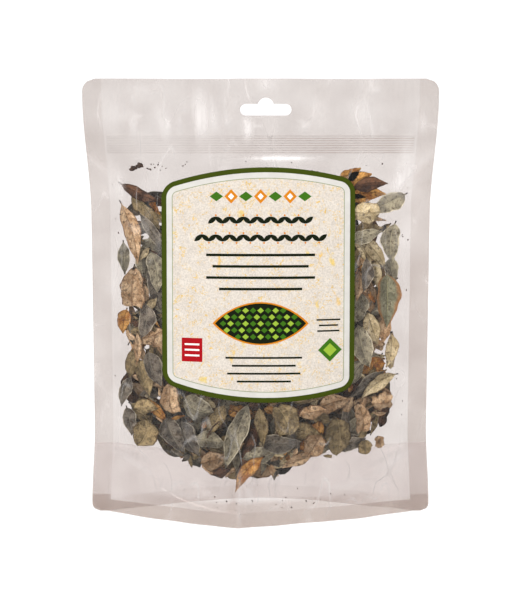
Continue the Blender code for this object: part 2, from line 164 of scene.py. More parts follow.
# More leaves that show between those
NEAR_LEAVES = (
    (-69, 203, -52, 20, 6, "golden", "lance"), (-72, 199, -53, 31, 12, "olive", "lance"),
    (-71, 136, -127, 19, 6, "cream", "lance"), (-78, 110, -92, 22, 5.5, "tan", "lance"),
    (-66, 70, -43, 20, 7, "golden", "lance"), (-46, 53, -62, 26, 12, "slate", "ovate"),
    (-32, 53, -9, 21, 11, "green", "ovate"), (-30, 40, 23, 19, 12, "tan", "ovate"),
    (-25, 33, 20, 13, 7, "brown", "lance"), (12, 52, -3, 28, 12, "slate", "ovate"),
    (34, 49, -122, 20, 14, "tan", "ovate"), (46, 76, 15, 22, 12, "tan", "ovate"),
    (69, 88, -145, 28, 8, "slate", "lance"), (62, 151, -94, 20, 7, "tan", "lance"),
    (71, 123, -72, 23, 10, "cream", "ovate"), (71, 172, -48, 27, 9, "cream", "lance"),
    (73, 158, -85, 18, 8, "cream", "lance"), (56, 221, 21, 15, 8, "golden", "ovate"),
    (76, 50, -69, 8, 6, "tan", "ragged"), (-66, 160, -80, 27, 12, "green", "ovate"),
    (-68, 98, -70, 24, 12, "slate", "ovate"), (-82, 100, -100, 22, 9, "olive", "lance"),
    (0, 44, 12, 26, 11, "green", "lance"), (29, 58, -20, 25, 12, "olive", "ovate"),
    (60, 95, 60, 20, 11, "green", "ovate"), (79, 122, -100, 19, 9, "tan", "lance"),
    (-86, 168, -88, 22, 8, "green", "lance"), (62, 136, -100, 22, 11, "green", "ovate"),
    (83, 160, -80, 18, 9, "green", "ovate"), (-60, 116, 70, 22, 11, "tan", "ovate"),
    (24, 40, -160, 22, 8, "tan", "lance"), (58, 49, 20, 20, 9, "slate", "lance"),
    (-84, 62, -80, 20, 9, "slate", "ovate"), (-6, 52, -108, 44, 9, "brown", "lance"),
    (30, 82, 10, 30, 12, "olive", "ovate"), (-28, 66, -120, 24, 10, "olive", "ovate"),
    (58, 216, 22, 25, 12, "golden", "ovate"), (65, 208, 8, 27, 11, "golden", "lance"),
    (61, 203, -20, 22, 10, "slate", "lance"), (-66, 150, -80, 30, 13, "slate", "ovate"),
    (-74, 92, -70, 26, 12, "olive", "ovate"),
)
SLOTS = {"green": "leaf_green", "olive": "leaf_olive", "slate": "leaf_slate", "tan": "leaf_tan",
         "golden": "leaf_golden", "brown": "leaf_brown", "cream": "leaf_tan", "rimmed": "leaf_green"}
# Blade colours as upper side, paler patches, rim (partly painted edge highlight and shadow) and veins
PALETTE = {
    "green": ("#736f60", "#a39d86", "#d6cfb6", "#b0aa90"),
    "olive": ("#6b5e42", "#a08e68", "#4e3c26", "#9a8b68"),
    "slate": ("#4b4640", "#7d766a", "#bcb5a2", "#8b8678"),
    "tan": ("#a58562", "#d0b592", "#6f4e34", "#86684a"),
    "golden": ("#96602b", "#cf9d56", "#5e3a1c", "#744b24"),
    "brown": ("#3a2820", "#70503a", "#20150f", "#553c2e"),
    "cream": ("#ad9d78", "#d2c4a0", "#87734e", "#968662"),
    "rimmed": ("#6c6d58", "#8f8f76", "#9c7044", "#96936f"),
}
# How the outline of a blade swells from its stalk and narrows to its tip, and where it breaks off
CUTS = {"ovate": (0.62, 1.0, 1.0), "lance": (0.8, 1.15, 1.0), "round": (0.5, 0.5, 1.0),
        "broken": (0.6, 0.55, 0.8), "ragged": (0.5, 0.5, 0.85)}
# What the loose leaves are, by how often
ROW_KINDS = ("green", "green", "olive", "olive", "olive", "slate", "tan", "tan", "tan", "cream",
             "golden", "brown")
SCRAP_KINDS = ("tan", "cream", "olive", "brown", "golden", "tan", "slate")
FILL_KINDS = ("green", "olive", "slate", "slate", "brown", "tan", "olive")
BACK_KINDS = ("green", "olive", "slate", "tan", "green", "olive", "golden", "brown")
BACK_LEAVES = 18
# Where the loose leaves are thrown: lowest and highest x, lowest and highest z
EDGE_ZONES = ((-90, -58, 30, 216), (56, 90, 30, 216), (-60, 58, 20, 84))
FRONT_ZONES = EDGE_ZONES + ((-60, 58, 84, 216),)
BACK_ZONES = ((-90, 0, 24, 216), (0, 90, 24, 216))

# Area lights, in metres and watts: name, place, width, height, power
LIGHTS = (
    ("top_box", (0.0, -0.5, 1.9), 1.2, 0.8, 7.0),
    ("key_box", (-0.95, -1.5, 1.3), 0.45, 0.45, 17.0),
    ("left_strip", (-1.2, -1.5, 0.75), 0.1, 1.2, 3.5),
    ("right_strip", (1.3, -1.3, 0.8), 0.1, 1.0, 4.0),
    ("front_box", (-0.3, -2.1, 0.95), 0.3, 0.2, 2.2),
    ("rear_box", (0.5, 1.7, 1.0), 0.6, 0.6, 10.0),
)
AIM_HEIGHT = 0.14      # in metres, what the camera and the lights look at
SIDE_STEP = -3.5       # of the camera
LENS = 113.4
SENSOR = 36.0


def linear(code):
    """Linear RGB of an sRGB hex colour."""
    parts = [int(code[k:k + 2], 16) / 255.0 for k in (1, 3, 5)]
    return tuple(c / 12.92 if c <= 0.04045 else ((c + 0.055) / 1.055) ** 2.4 for c in parts)


# ---------------------------------------------------------------- settings

def length_setting(name, default, low, high, description):
    """A length property whose numbers are in millimetres."""
    return bpy.props.FloatProperty(
        name=name, description=description, default=default * MM, min=low * MM, max=high * MM,
        precision=5, unit="LENGTH")


def share_setting(name, default, description):
    return bpy.props.FloatProperty(
        name=name, description=description, default=default, min=0.0, max=1.0, subtype="FACTOR")


def colour_setting(name, code, description):
    return bpy.props.FloatVectorProperty(
        name=name, description=description, default=linear(code), min=0.0, max=1.0, size=3,
        subtype="COLOR")


class PouchFilmSettings(bpy.types.PropertyGroup):
    """Film, seals and zip."""
    wall: length_setting("Film thickness", 0.15, 0.05, 0.3, "Thickness of one film")
    tint: colour_setting("Film tint", "#f5f3f2", "Light that one face of the film lets through")
    seal_tint: colour_setting("Seal tint", "#e0d9d5", "Light that one face of a heat seal lets through")
    haze: share_setting("Haze", 0.004, "Share of light that the clear film scatters")
    gloss: share_setting("Gloss roughness", 0.16, "Roughness of the film's shine")


class PouchLabelSettings(bpy.types.PropertyGroup):
    """Paper label."""
    border: length_setting("Border width", 3.1, 1.0, 10.0, "Width of the green edge")
    band: length_setting("White band", 3.4, 1.0, 10.0, "Width of the white band inside the border")
    green: colour_setting("Border colour", "#3a450a", "Ink of the edge")
    ground: colour_setting("Paper colour", "#d3cabf", "Cream ground of the label")


class PouchLeafSettings(bpy.types.PropertyGroup):
    """Dried leaves."""
    thickness: length_setting("Leaf thickness", 0.3, 0.1, 1.0, "Thickness of a dried blade")
    front_fill: bpy.props.IntProperty(
        name="Front fill", description="Loose leaves behind the front row", default=430, min=0, max=900)
    back_fill: bpy.props.IntProperty(
        name="Back fill", description="Loose leaves behind the back row", default=420, min=0, max=900)
    seed: bpy.props.IntProperty(name="Seed", description="Start of the scatter", default=7, min=0)


class PouchStageSettings(bpy.types.PropertyGroup):
    """Floor, light and camera."""
    floor: colour_setting("Floor colour", "#6c6c6c", "Colour of the floor beneath its glow")
    distance: length_setting("Camera distance", 1200.0, 300.0, 5000.0,
                             "From the pouch's middle to the camera")
    elevation: bpy.props.FloatProperty(
        name="Camera height angle", description="Angle of the camera above level",
        default=math.radians(11.0), min=0.0, max=1.5, subtype="ANGLE")


GROUPS = {"pouch_film": PouchFilmSettings, "pouch_label": PouchLabelSettings,
          "pouch_leaf": PouchLeafSettings, "pouch_stage": PouchStageSettings}


# ---------------------------------------------------------------- shape of the pouch

def smooth(t):
    """Eases from 0 to 1 as t does."""
    t = min(max(t, 0.0), 1.0)
    return t * t * (3.0 - 2.0 * t)


def middle_depth(z):
    """Half depth of the pouch at its middle, a smooth curve through DEPTHS."""
    z = min(max(z, 0.0), HEIGHT)
    last = len(DEPTHS) - 1
    k = next(i for i in range(last) if z <= DEPTHS[i + 1][0])
    slopes = [(b[1] - a[1]) / (b[0] - a[0]) for a, b in zip(DEPTHS, DEPTHS[1:])]

    def tangent(i):
        if i in (0, last) or slopes[i - 1] * slopes[i] <= 0.0:
            return 0.0
        return 2.0 * slopes[i - 1] * slopes[i] / (slopes[i - 1] + slopes[i])

    (z0, d0), (z1, d1) = DEPTHS[k], DEPTHS[k + 1]
    t = (z - z0) / (z1 - z0)
    ease_in = t * (1.0 - t) ** 2
    ease_out = t * t * (1.0 - t)
    return d0 + (d1 - d0) * smooth(t) + (z1 - z0) * (ease_in * tangent(k) - ease_out * tangent(k + 1))


def half_width(z):
    """Half width of a panel, wider towards its top and its foot."""
    return WAIST + TOP_FLARE * smooth((z - 195.0) / 75.0) + FOOT_FLARE * smooth((60.0 - z) / 55.0)


def corner_inset(z, foot):
    """How far a panel's edge is drawn in by its round corners."""
    inset = 0.0
    for radius, reach in ((TOP_RADIUS, z - (HEIGHT - TOP_RADIUS)),
                          (FOOT_RADIUS, foot + FOOT_RADIUS - z)):
        if reach > 0.0:
            reach = min(reach, radius)
            inset = radius - math.sqrt(radius * radius - reach * reach)
    return inset


def section(x, z, side):
    """Share of the middle depth at x: 1 at its fullest, 0 at the side seals."""
    inner = half_width(z) - SIDE_SEAL
    s = min(abs(x) / inner, 1.0)
    square = 6.0 * smooth((z - 176.0) / 58.0) - 3.0 * smooth((z - 246.0) / 16.0)
    dome = 1.0 - s ** (2.4 + square)
    if side > 0:
        keel = 1.0 - s ** 1.7
    else:
        reach = inner - CREASE_X if x > CREASE_X else inner + CREASE_X
        keel = 1.0 - min(abs(x - CREASE_X) / reach, 1.0) ** 1.15
    return keel + (dome - keel) * smooth((z - SKIRT) / 62.0)


def depth(x, z, side):
    """Distance of a panel from the middle plane; side is -1 front, 1 back."""
    z = max(z, SKIRT)
    layers = 1.0 + 3.0 * smooth((FOUR_LAYERS + 10.0 - z) / 10.0)
    return layers * PLY + middle_depth(z) * section(x, z, side)


def ripple(x, z):
    """Wave of the top edge, front to back."""
    return 1.6 * math.sin(2.0 * math.pi * (x + 20.0) / 95.0) * smooth((z - 248.0) / 32.0)


def side_x(u, z, trim=0.0):
    """Place across a panel, from u of -1 at its left edge to 1 at its right."""
    width = half_width(z)
    inner = width - SIDE_SEAL
    a = abs(u)
    if a <= SEAL_SHARE:
        x = inner * a / SEAL_SHARE
    else:
        edge = width - corner_inset(z, trim) - trim
        x = inner + (edge - inner) * (a - SEAL_SHARE) / (1.0 - SEAL_SHARE)
    return math.copysign(x, u)


def pinch(u):
    """Share of the depth that is left where the panels are welded together at the sides."""
    return 1.0 - 0.7 * smooth((abs(u) - SEAL_SHARE) / 0.02)


def foot_lift(x, z):
    """Lift of the foot's corners."""
    return FOOT_LIFT * smooth((abs(x) - 60.0) / 45.0) * (1.0 - smooth(z / 60.0))


def folds(x, z, table):
    """Height of the small folds of a film at a point, outward."""
    total = 0.0
    for x0, z0, x1, z1, high, wide in table:
        dx, dz = x1 - x0, z1 - z0
        t = ((x - x0) * dx + (z - z0) * dz) / (dx * dx + dz * dz)
        t = min(max(t, 0.0), 1.0)
        away = math.hypot(x - x0 - dx * t, z - z0 - dz * t)
        if away < 3.0 * wide:
            total += high * math.exp(-(away / wide) ** 2) * math.sin(math.pi * (0.12 + 0.76 * t))
    return total


def cockle(x, z, side):
    """Slow unevenness of a film, outward."""
    return (math.sin(0.11 * x + 0.05 * z + 1.3 * side) * math.sin(0.07 * z - 0.03 * x)
            + 0.6 * math.sin(0.23 * x - 0.17 * z + 0.7 * side))


def gusset_seal(x):
    """Height of the curved seal between gusset and panel."""
    s = min(abs(x) / (half_width(0.0) - SIDE_SEAL), 1.0)
    return SEAL_LOW + SEAL_RISE * s ** 3


def gusset_ridge(x):
    """Height of the gusset's fold, as high as its flaps reach."""
    seal = gusset_seal(x)
    reach = 0.5 * (depth(x, seal, -1) + depth(x, seal, 1)) - 2.0 * PLY
    return seal + math.sqrt(max((FOLD - seal) ** 2 - reach * reach, 1.0))


def fill_floor(x):
    """Lowest height of the leaves, where they rest on the gusset."""
    reach = 96.0 if x > CREASE_X else 66.0
    return 25.0 + 32.0 * (abs(x - CREASE_X) / reach) ** 1.6


def fill_top(x):
    """Greatest height of the loose leaves, a little below the label's arch."""
    return LABEL_TOP - 5.0 - LABEL_ARCH * (x - LABEL_X) ** 2


# ---------------------------------------------------------------- making things

def settings(name):
    return getattr(bpy.context.scene, name)


def active():
    return bpy.context.view_layer.objects.active


def deselect():
    bpy.ops.object.select_all(action="DESELECT")


def only(obj):
    deselect()
    obj.select_set(True)
    bpy.context.view_layer.objects.active = obj


def apply_modifiers(obj):
    only(obj)
    for modifier in list(obj.modifiers):
        bpy.ops.object.modifier_apply(modifier=modifier.name)


def round_off(obj, degrees):
    only(obj)
    bpy.ops.object.shade_smooth_by_angle(angle=math.radians(degrees))


def add_grid(name, across, along, place):
    """A grid primitive whose columns and rows are laid out by place(column, row) in millimetres."""
    columns = len(across) - 1
    rows = len(along) - 1
    deselect()
    bpy.ops.mesh.primitive_grid_add(x_subdivisions=columns, y_subdivisions=rows, size=2.0,
                                    calc_uvs=True)
    obj = active()
    obj.name = name
    obj.data.name = name
    for vertex in obj.data.vertices:
        i = round((vertex.co.x + 1.0) / 2.0 * columns)
        j = round((vertex.co.y + 1.0) / 2.0 * rows)
        vertex.co = Vector(place(across[i], along[j])) * MM
    obj.data.update()
    return obj


def add_speck(fineness, x, z, lean, long, high, thick, sink, rough=0.0):
    """A flattened lump behind the front film, its size in millimetres and its surface uneven."""
    deselect()
    bpy.ops.mesh.primitive_ico_sphere_add(subdivisions=fineness, radius=1.0)
    speck = active()
    y = sink - depth(x, z, -1)
    for vertex in speck.data.vertices:
        a, b, c = vertex.co
        swell = 1.0 + rough * (0.16 * math.sin(5.0 * a + 3.0 * c) + 0.12 * math.sin(9.0 * c + 4.0 * b))
        a, b, c = a * long * swell, b * thick * swell, c * high * swell
        vertex.co = Vector((x + a * math.cos(lean) - c * math.sin(lean), y + b,
                            z + a * math.sin(lean) + c * math.cos(lean))) * MM
    return speck


def thicken(obj, wall):
    modifier = obj.modifiers.new("wall", "SOLIDIFY")
    modifier.thickness = wall
    modifier.offset = 0.0
    apply_modifiers(obj)


def coat(obj, *materials):
    obj.data.materials.clear()
    for material in materials:
        obj.data.materials.append(material)


def mesh_of(name, vertices, faces):
    mesh = bpy.data.meshes.new(name)
    mesh.from_pydata(vertices, [], faces)
    mesh.validate()
    mesh.update()
    obj = bpy.data.objects.new(name, mesh)
    bpy.context.scene.collection.objects.link(obj)
    return obj


def vertex_places(mesh):
    """Places of a mesh's vertices, in millimetres."""
    places = np.empty(len(mesh.vertices) * 3)
    mesh.vertices.foreach_get("co", places)
    return places.reshape(-1, 3) / MM


def write_uvs(mesh, name, uvs):
    """Writes a UV map from one pair for each vertex."""
    loops = np.empty(len(mesh.loops), dtype=np.int64)
    mesh.loops.foreach_get("vertex_index", loops)
    mesh.uv_layers.new(name=name).data.foreach_set("uv", uvs[loops].astype(np.float32).ravel())


def write_values(mesh, **attributes):
    """Writes attributes of one number for each vertex."""
    for name, values in attributes.items():
        layer = mesh.attributes.new(name, "FLOAT", "POINT")
        layer.data.foreach_set("value", np.array(values, dtype=np.float32))


def outward(obj):
    """Merges doubles and turns the faces of a closed piece outwards."""
    only(obj)
    bpy.ops.object.mode_set(mode="EDIT")
    bpy.ops.mesh.select_all(action="SELECT")
    bpy.ops.mesh.remove_doubles(threshold=0.000002)
    bpy.ops.mesh.normals_make_consistent(inside=False)
    bpy.ops.object.mode_set(mode="OBJECT")


def place_piece(obj, slot, *replaced):
    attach(obj, "root")
    if replaced:
        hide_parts(*replaced)


def join(name, objects):
    only(objects[0])
    for obj in objects:
        obj.select_set(True)
    bpy.ops.object.join()
    made = active()
    made.name = name
    made.data.name = name
    return made


def even(low, high, count):
    return [low + (high - low) * k / count for k in range(count + 1)]


# ---------------------------------------------------------------- materials

# The setting that is named behind the stroke in a node's kind
MODES = {"Math": "operation", "VectorMath": "operation", "Mix": "data_type", "MixRGB": "blend_type",
         "Attribute": "attribute_name", "UVMap": "uv_map"}
WHITE = (1.0, 1.0, 1.0)


def add_node(tree, kind, *values, stops=(), **named):
    """Adds a shader node. Its kind may end in its mode, as in Math/ADD. values fill its open
    sockets in order and named ones go by name: a node or an output is linked, all else is set.
    stops are the places and colours of a ramp."""
    kind, _, mode = kind.partition("/")
    made = tree.nodes.new("ShaderNode" + kind)
    if mode:
        setattr(made, MODES[kind], mode)
    if stops:
        for element, (position, colour) in zip(made.color_ramp.elements, stops):
            element.position = position
            element.color = (*colour, 1.0)
    pairs = list(zip([socket for socket in made.inputs if socket.enabled], values))
    pairs += [(made.inputs[key.replace("_", " ")], value) for key, value in named.items()]
    for socket, value in pairs:
        if isinstance(value, bpy.types.Node):
            value = next(output for output in value.outputs if output.enabled)
        if isinstance(value, bpy.types.NodeSocket):
            tree.links.new(value, socket)
        elif socket.type == "RGBA":
            socket.default_value = (*value, 1.0)
        else:
            socket.default_value = value
    return made


def new_material(name):
    """An empty material, and add_node for its tree."""
    made = bpy.data.materials.new(name)
    made.use_nodes = True
    made.node_tree.nodes.clear()
    return made, functools.partial(add_node, made.node_tree)


def milky(node, clear, colour, share):
    """Mixes into a clear body a milk that scatters half of its light onward."""
    milk = node("MixShader", 0.5, node("BsdfDiffuse", colour), node("BsdfTranslucent", colour))
    return node("MixShader", share, clear, milk)


def finish_clear(node, body, tint, edge_shine, shine, roughness, **normal):
    """Gives a clear body a shine that grows towards its edges, and a shadow of a plain tint."""
    facing = node("LayerWeight", 0.5, **normal).outputs["Facing"]
    share = node("Math/MULTIPLY_ADD", node("Math/POWER", facing, 5.0), edge_shine, shine)
    skin = node("MixShader", share, body, node("BsdfGlossy", WHITE, roughness, **normal))
    shadow = node("LightPath").outputs["Is Shadow Ray"]
    node("OutputMaterial", node("MixShader", shadow, skin, node("BsdfTransparent", tint)))


def film_material(name, tint, seal_tint, haze, gloss, zones, edge_shine=0.85, mottle=0.35,
                  crease_milk=0.13):
    """Cast polypropylene and polyethylene laminate: clear, faintly pink-grey where layers add up,
    milky where it was bent, with painted highlights laid in as milk in its dents, folds and creases,
    a painted shade beside the fold at the front's foot, a soft sharp-edged shine and crow's-foot
    wrinkles."""
    made, node = new_material(name)
    place = node("TexCoord").outputs["Object"]
    if zones:
        # Heat seals down both sides and 9 mm high along the foot
        split = node("SeparateXYZ", node("UVMap/film"))
        from_middle = node("Math/ABSOLUTE", node("Math/MULTIPLY_ADD", split.outputs[0], 2.0, -1.0))
        height = node("Math/MULTIPLY", split.outputs[1], HEIGHT)
        side_band = node("MapRange", from_middle, SEAL_SHARE - 0.002, SEAL_SHARE + 0.004)
        foot_band = node("MapRange", height, 9.6, 8.8)
        # The foot's extra layers and a painted shade beside the upright fold are added to the seals'
        # tint here
        band = node("Math/MULTIPLY_ADD", node("Math/MAXIMUM", side_band, foot_band),
                    node("Attribute/sealed").outputs["Fac"], node("Attribute/plies").outputs["Fac"])
    else:
        band = node("Attribute/seal").outputs["Fac"]
    # Milk of the film, partly painted highlights in its dents and along its folds
    cloud = node("Attribute/cloud").outputs["Fac"]
    # Slow cloudiness of 25 mm, and upright streaks 2.4 mm wide and 20 mm long
    patches = node("TexNoise", place, Scale=40.0, Detail=1.0, Roughness=0.55)
    streaks = node("TexNoise", node("Mapping", place, Scale=(1.0, 1.0, 0.12)), Scale=420.0, Detail=0.0)
    cloudy = node("ValToRGB", patches, stops=((0.3, (0.9, 0.885, 0.88)), (0.7, WHITE)))
    clear = node("BsdfTransparent",
                 node("MixRGB/MULTIPLY", mottle, node("Mix/RGBA", band, tint, seal_tint), cloudy))
    haze_and_highlight = node("Math/MULTIPLY_ADD", cloud, 0.55, haze)
    haze_and_highlight = node("Math/MULTIPLY_ADD", band, 0.03, haze_and_highlight)
    # White creases, thin contours of a slow noise about 0.4 mm wide; their milk is partly a painted
    # highlight
    upright = node("Mapping", place, Rotation=(0.0, 0.2, 0.0), Scale=(1.0, 1.0, 0.4))
    bent = node("TexNoise", upright, Scale=52.0, Detail=1.0)
    contour = node("Math/ABSOLUTE", node("Math/SUBTRACT", bent, 0.5))
    crease = node("MapRange", contour, 0.016, 0.003)
    patchy = node("MapRange", patches, 0.48, 0.6, 0.0, crease_milk)
    haze_and_highlight = node("Math/MULTIPLY_ADD", crease, patchy, haze_and_highlight)
    streaked = node("Math/MULTIPLY_ADD", streaks, 0.9, 0.55)
    body = milky(node, clear, linear("#f8f6f5"), node("Math/MULTIPLY", haze_and_highlight, streaked))
    # Wrinkles: soft cockles of 12 mm, creases along their contours, and fine lines pressed into
    # the seals
    soft = node("TexNoise", place, Scale=80.0, Detail=1.0)
    crow_lines = node("Math/PINGPONG", node("Math/MULTIPLY", soft, 3.0), 0.5)
    lines = node("TexWave", place, Scale=170.0, Distortion=1.2).outputs["Fac"]
    relief = node("Math/MULTIPLY_ADD", crow_lines, 0.25, soft)
    relief = node("Math/MULTIPLY_ADD", node("Math/MULTIPLY", lines, band), 0.22, relief)
    bump = node("Bump", Strength=0.5, Distance=0.0011, Height=relief)
    finish_clear(node, body, tint, edge_shine, 0.011, gloss, Normal=bump)
    return made


def zip_material():
    """Extruded polyethylene zip: the same clear stuff as the film, a little milkier and satin."""
    made, node = new_material("zip_polyethylene")
    place = node("TexCoord").outputs["Object"]
    split = node("SeparateXYZ", place)
    # Ribs 1.5 mm apart get painted shade in thin grey lines, faded towards the left as the light falls
    rib = node("Math/PINGPONG", node("Math/MULTIPLY", split.outputs[2], 1.0 / (ZIP_PITCH * MM)), 0.5)
    groove_shade = node("MapRange", rib, 0.14, 0.0)
    plain = node("MapRange", split.outputs[0], -0.05, 0.02, 0.3, 1.0)
    lined = node("Mix/RGBA", node("Math/MULTIPLY", groove_shade, plain), WHITE, linear("#efeae8"))
    # Milk in clouds of 17 mm
    cloudy = node("TexNoise", place, Scale=60.0, Detail=0.0)
    body = milky(node, node("BsdfTransparent", lined), linear("#efe9e6"),
                 node("Math/MULTIPLY_ADD", cloudy, 0.02, 0.003))
    finish_clear(node, body, linear("#fefdfd"), 0.2, 0.003, 0.22)
    return made


def leaf_material(kind):
    """Dried leaf blade: matt, with a slight wax shine, mottled, its midrib and side veins raised
    and its thin rim paler or darker: partly the dried edge, partly a painted highlight where pale and a
    painted shadow where dark."""
    made, node = new_material("dried_leaf_" + kind)
    base, patch, rim, vein = (linear(code) for code in PALETTE[kind])
    place = node("TexCoord").outputs["Object"]
    tone = node("Attribute/tone").outputs["Fac"]
    split = node("SeparateXYZ", node("UVMap/blade"))
    along, across = split.outputs[0], split.outputs[1]
    away = node("Math/ABSOLUTE", node("Math/MULTIPLY_ADD", across, 2.0, -1.0))
    # Blotches of about 5 mm, spots of 2 mm and a fine tissue of 0.8 mm
    blotch = node("TexNoise", place, Scale=190.0, Detail=2.0, Roughness=0.6)
    spots = node("TexNoise", place, Scale=480.0, Detail=1.0)
    tissue = node("TexNoise", place, Scale=1200.0, Detail=0.0)
    blade = node("Mix/RGBA", node("MapRange", blotch, 0.4, 0.6), base, patch)
    blade = node("Mix/RGBA", node("MapRange", spots, 0.55, 0.68, 0.0, 0.65), blade, linear("#3a2a1c"))
    # Side veins leave the midrib every 1/11 of the blade and lean towards the tip
    phase = node("Math/MULTIPLY_ADD", along, 11.0, node("Math/MULTIPLY", away, -2.4))
    veins = node("MapRange", node("Math/PINGPONG", phase, 0.5), 0.1, 0.0)
    midrib = node("MapRange", away, 0.09, 0.03)
    lines = node("Math/MAXIMUM", node("Math/MULTIPLY", veins, 0.55), midrib)
    veined = node("Mix/RGBA", node("Math/MULTIPLY", lines, 0.6), blade, vein)
    # A narrow uneven rim, or a broad one: partly the dried edge, partly a painted highlight where it is
    # pale and a painted shadow where it is dark
    rim_start, rim_end = (0.62, 0.88) if kind == "rimmed" else (0.88, 0.98)
    uneven = node("Math/ADD", away, node("Math/MULTIPLY_ADD", blotch, 0.3, -0.15))
    edge = node("MapRange", uneven, rim_start, rim_end)
    rimmed = node("Mix/RGBA", node("Math/MULTIPLY", edge, 0.9), veined, rim)
    # The stalk is nearly black
    stalked = node("Mix/RGBA", node("MapRange", along, 0.075, 0.03), rimmed, linear("#2b1d18"))
    # One half of a folded blade is a little darker than the other
    halves = node("MapRange", across, 0.48, 0.52, 0.78, 1.12)
    grain = node("Math/MULTIPLY", halves, node("Math/MULTIPLY_ADD", tissue, 0.7, 0.65))
    # tone is each leaf's own lightness, plus painted shade that darkens the fill deeper in the pile and
    # painted light that pales the leaves at the thin sides
    level = node("Math/MULTIPLY", grain, node("Math/MULTIPLY_ADD", tone, 0.6, 0.68))
    relief = node("Math/MULTIPLY_ADD", lines, 0.7, blotch)
    relief = node("Math/MULTIPLY_ADD", spots, 0.4, relief)
    node("OutputMaterial", node(
        "BsdfPrincipled", node("VectorMath/SCALE", stalked, level),
        Roughness=node("Math/MULTIPLY_ADD", blotch, 0.25, 0.4), Specular_IOR_Level=0.2,
        Normal=node("Bump", Strength=0.9, Distance=0.001, Height=relief)))
    return made


def stalk_material():
    """Dried leaf stalk: dark brown, with a grain of 1 mm, dull."""
    made, node = new_material("dried_stalk")
    grain = node("TexNoise", node("TexCoord").outputs["Object"], Scale=900.0, Detail=3.0)
    colour = node("ValToRGB", grain, stops=((0.35, linear("#261812")), (0.7, linear("#5a3d26"))))
    bump = node("Bump", Strength=0.5, Distance=0.0003, Height=grain)
    node("OutputMaterial", node("BsdfPrincipled", colour, Roughness=0.6, Normal=bump))
    return made


def paper_material(name, colour, fibres=False):
    """Printed label paper: satin varnish over ink, with the tooth of the paper beneath.
    The ground is flecked like handmade paper, with straw hairs and chips."""
    made, node = new_material(name)
    place = node("TexCoord").outputs["Object"]
    # Tooth of 0.9 mm, drawn coarser than real to show, and slow cloudiness of 6 mm
    tooth = node("TexNoise", place, Scale=1100.0, Detail=2.0)
    slow = node("TexNoise", place, Scale=160.0, Detail=3.0, Roughness=0.6)
    cloudy = node("ValToRGB", slow, stops=((0.35, (0.86, 0.84, 0.84)), (0.65, WHITE)))
    tinted = node("MixRGB/MULTIPLY", 0.5, colour, cloudy)
    if fibres:
        # Straw hairs about 5 mm long and 0.4 mm wide: thin contours of a warped noise
        wander = node("TexNoise", place, Scale=210.0, Detail=2.0, Distortion=1.4)
        contour = node("Math/ABSOLUTE", node("Math/SUBTRACT", wander, 0.5))
        hair = node("MapRange", contour, 0.024, 0.008)
        sparse = node("TexNoise", place, Scale=210.0, Detail=1.0)
        some = node("MapRange", sparse, 0.44, 0.54)
        haired = node("Mix/RGBA", node("Math/MULTIPLY", node("Math/MULTIPLY", hair, some), 0.85),
                      tinted, linear("#d6b054"))
        # Straw chips about 3 mm long in one cell of five
        lean = node("Mapping", place, Rotation=(0.0, 0.6, 0.0), Scale=(1.0, 1.0, 0.45))
        warped = node("TexNoise", place, Scale=120.0, Detail=1.0).outputs["Color"]
        pushed = node("VectorMath/MULTIPLY_ADD", warped, (0.012, 0.012, 0.012), lean)
        cells = node("TexVoronoi", pushed, Scale=150.0, Randomness=1.0)
        pick = node("SeparateColor", cells.outputs["Color"])
        chip = node("Math/MULTIPLY", node("MapRange", cells, 0.34, 0.14),
                    node("MapRange", pick, 0.8, 0.84))
        straw = node("ValToRGB", pick.outputs[1],
                     stops=((0.0, linear("#d8be66")), (1.0, linear("#dbae54"))))
        flecked = node("Mix/RGBA", node("Math/MULTIPLY", chip, 0.75), haired, straw)
        tinted = node("VectorMath/SCALE", flecked, node("MapRange", tooth, 0.36, 0.6, 0.86, 1.06))
    node("OutputMaterial", node(
        "BsdfPrincipled", tinted, Roughness=node("Math/MULTIPLY_ADD", slow, 0.15, 0.38),
        Specular_IOR_Level=0.06, Normal=node("Bump", Strength=0.25, Distance=0.0001, Height=tooth)))
    return made


# ---------------------------------------------------------------- film

def film_columns(fine):
    inner = even(0.0, SEAL_SHARE, fine)
    outer = even(SEAL_SHARE, 1.0, SEAL_COLUMNS)
    half = inner[1:] + outer[1:]
    return [-u for u in reversed(half)] + [0.0] + half


def film_share(x, z):
    """Place across a panel from -1 to 1, with the side seals beyond SEAL_SHARE."""
    inner = half_width(z) - SIDE_SEAL
    a = abs(x)
    u = SEAL_SHARE * a / inner
    if a > inner:
        u = SEAL_SHARE + (1.0 - SEAL_SHARE) * (a - inner) / SIDE_SEAL
    return math.copysign(u, x)


def film_milk_and_highlight(x, z, side, table):
    """How milky a film is: above the zip and over the gusset's seal, and in its dents and along its
    folds, where the milk is partly a painted highlight.
    """
    cloud = 0.05 * smooth((z - 243.0) / 14.0)
    for dx, dz, half_x, half_z, strength in DENTS_AND_HIGHLIGHTS:
        reach = ((x * -side - dx) / half_x) ** 2 + ((z - dz) / half_z) ** 2
        if reach < 6.0:
            cloud += strength * (1.0 if side < 0 else BACK_DENTS_AND_HIGHLIGHTS) * math.exp(-reach * 1.3)
    # Along the folds the milk is a painted highlight
    cloud += 0.3 * min(max(folds(x, z, table), 0.0), 1.0)
    return cloud + 0.03 * (1.0 - smooth((z - gusset_seal(x) + 1.0) / 2.0)) * smooth((z - 8.0) / 1.0)


def film_sealed(x, z, side):
    """Strength of the seals. The left one is clearer than the right one, and the back's foot is
    clearer than the front's."""
    if z < SEAL_TOP:
        return 1.0 if side < 0 else 0.15
    return 0.27 - 0.15 * smooth((z - 140.0) / 50.0) if x > 0.0 else 0.1


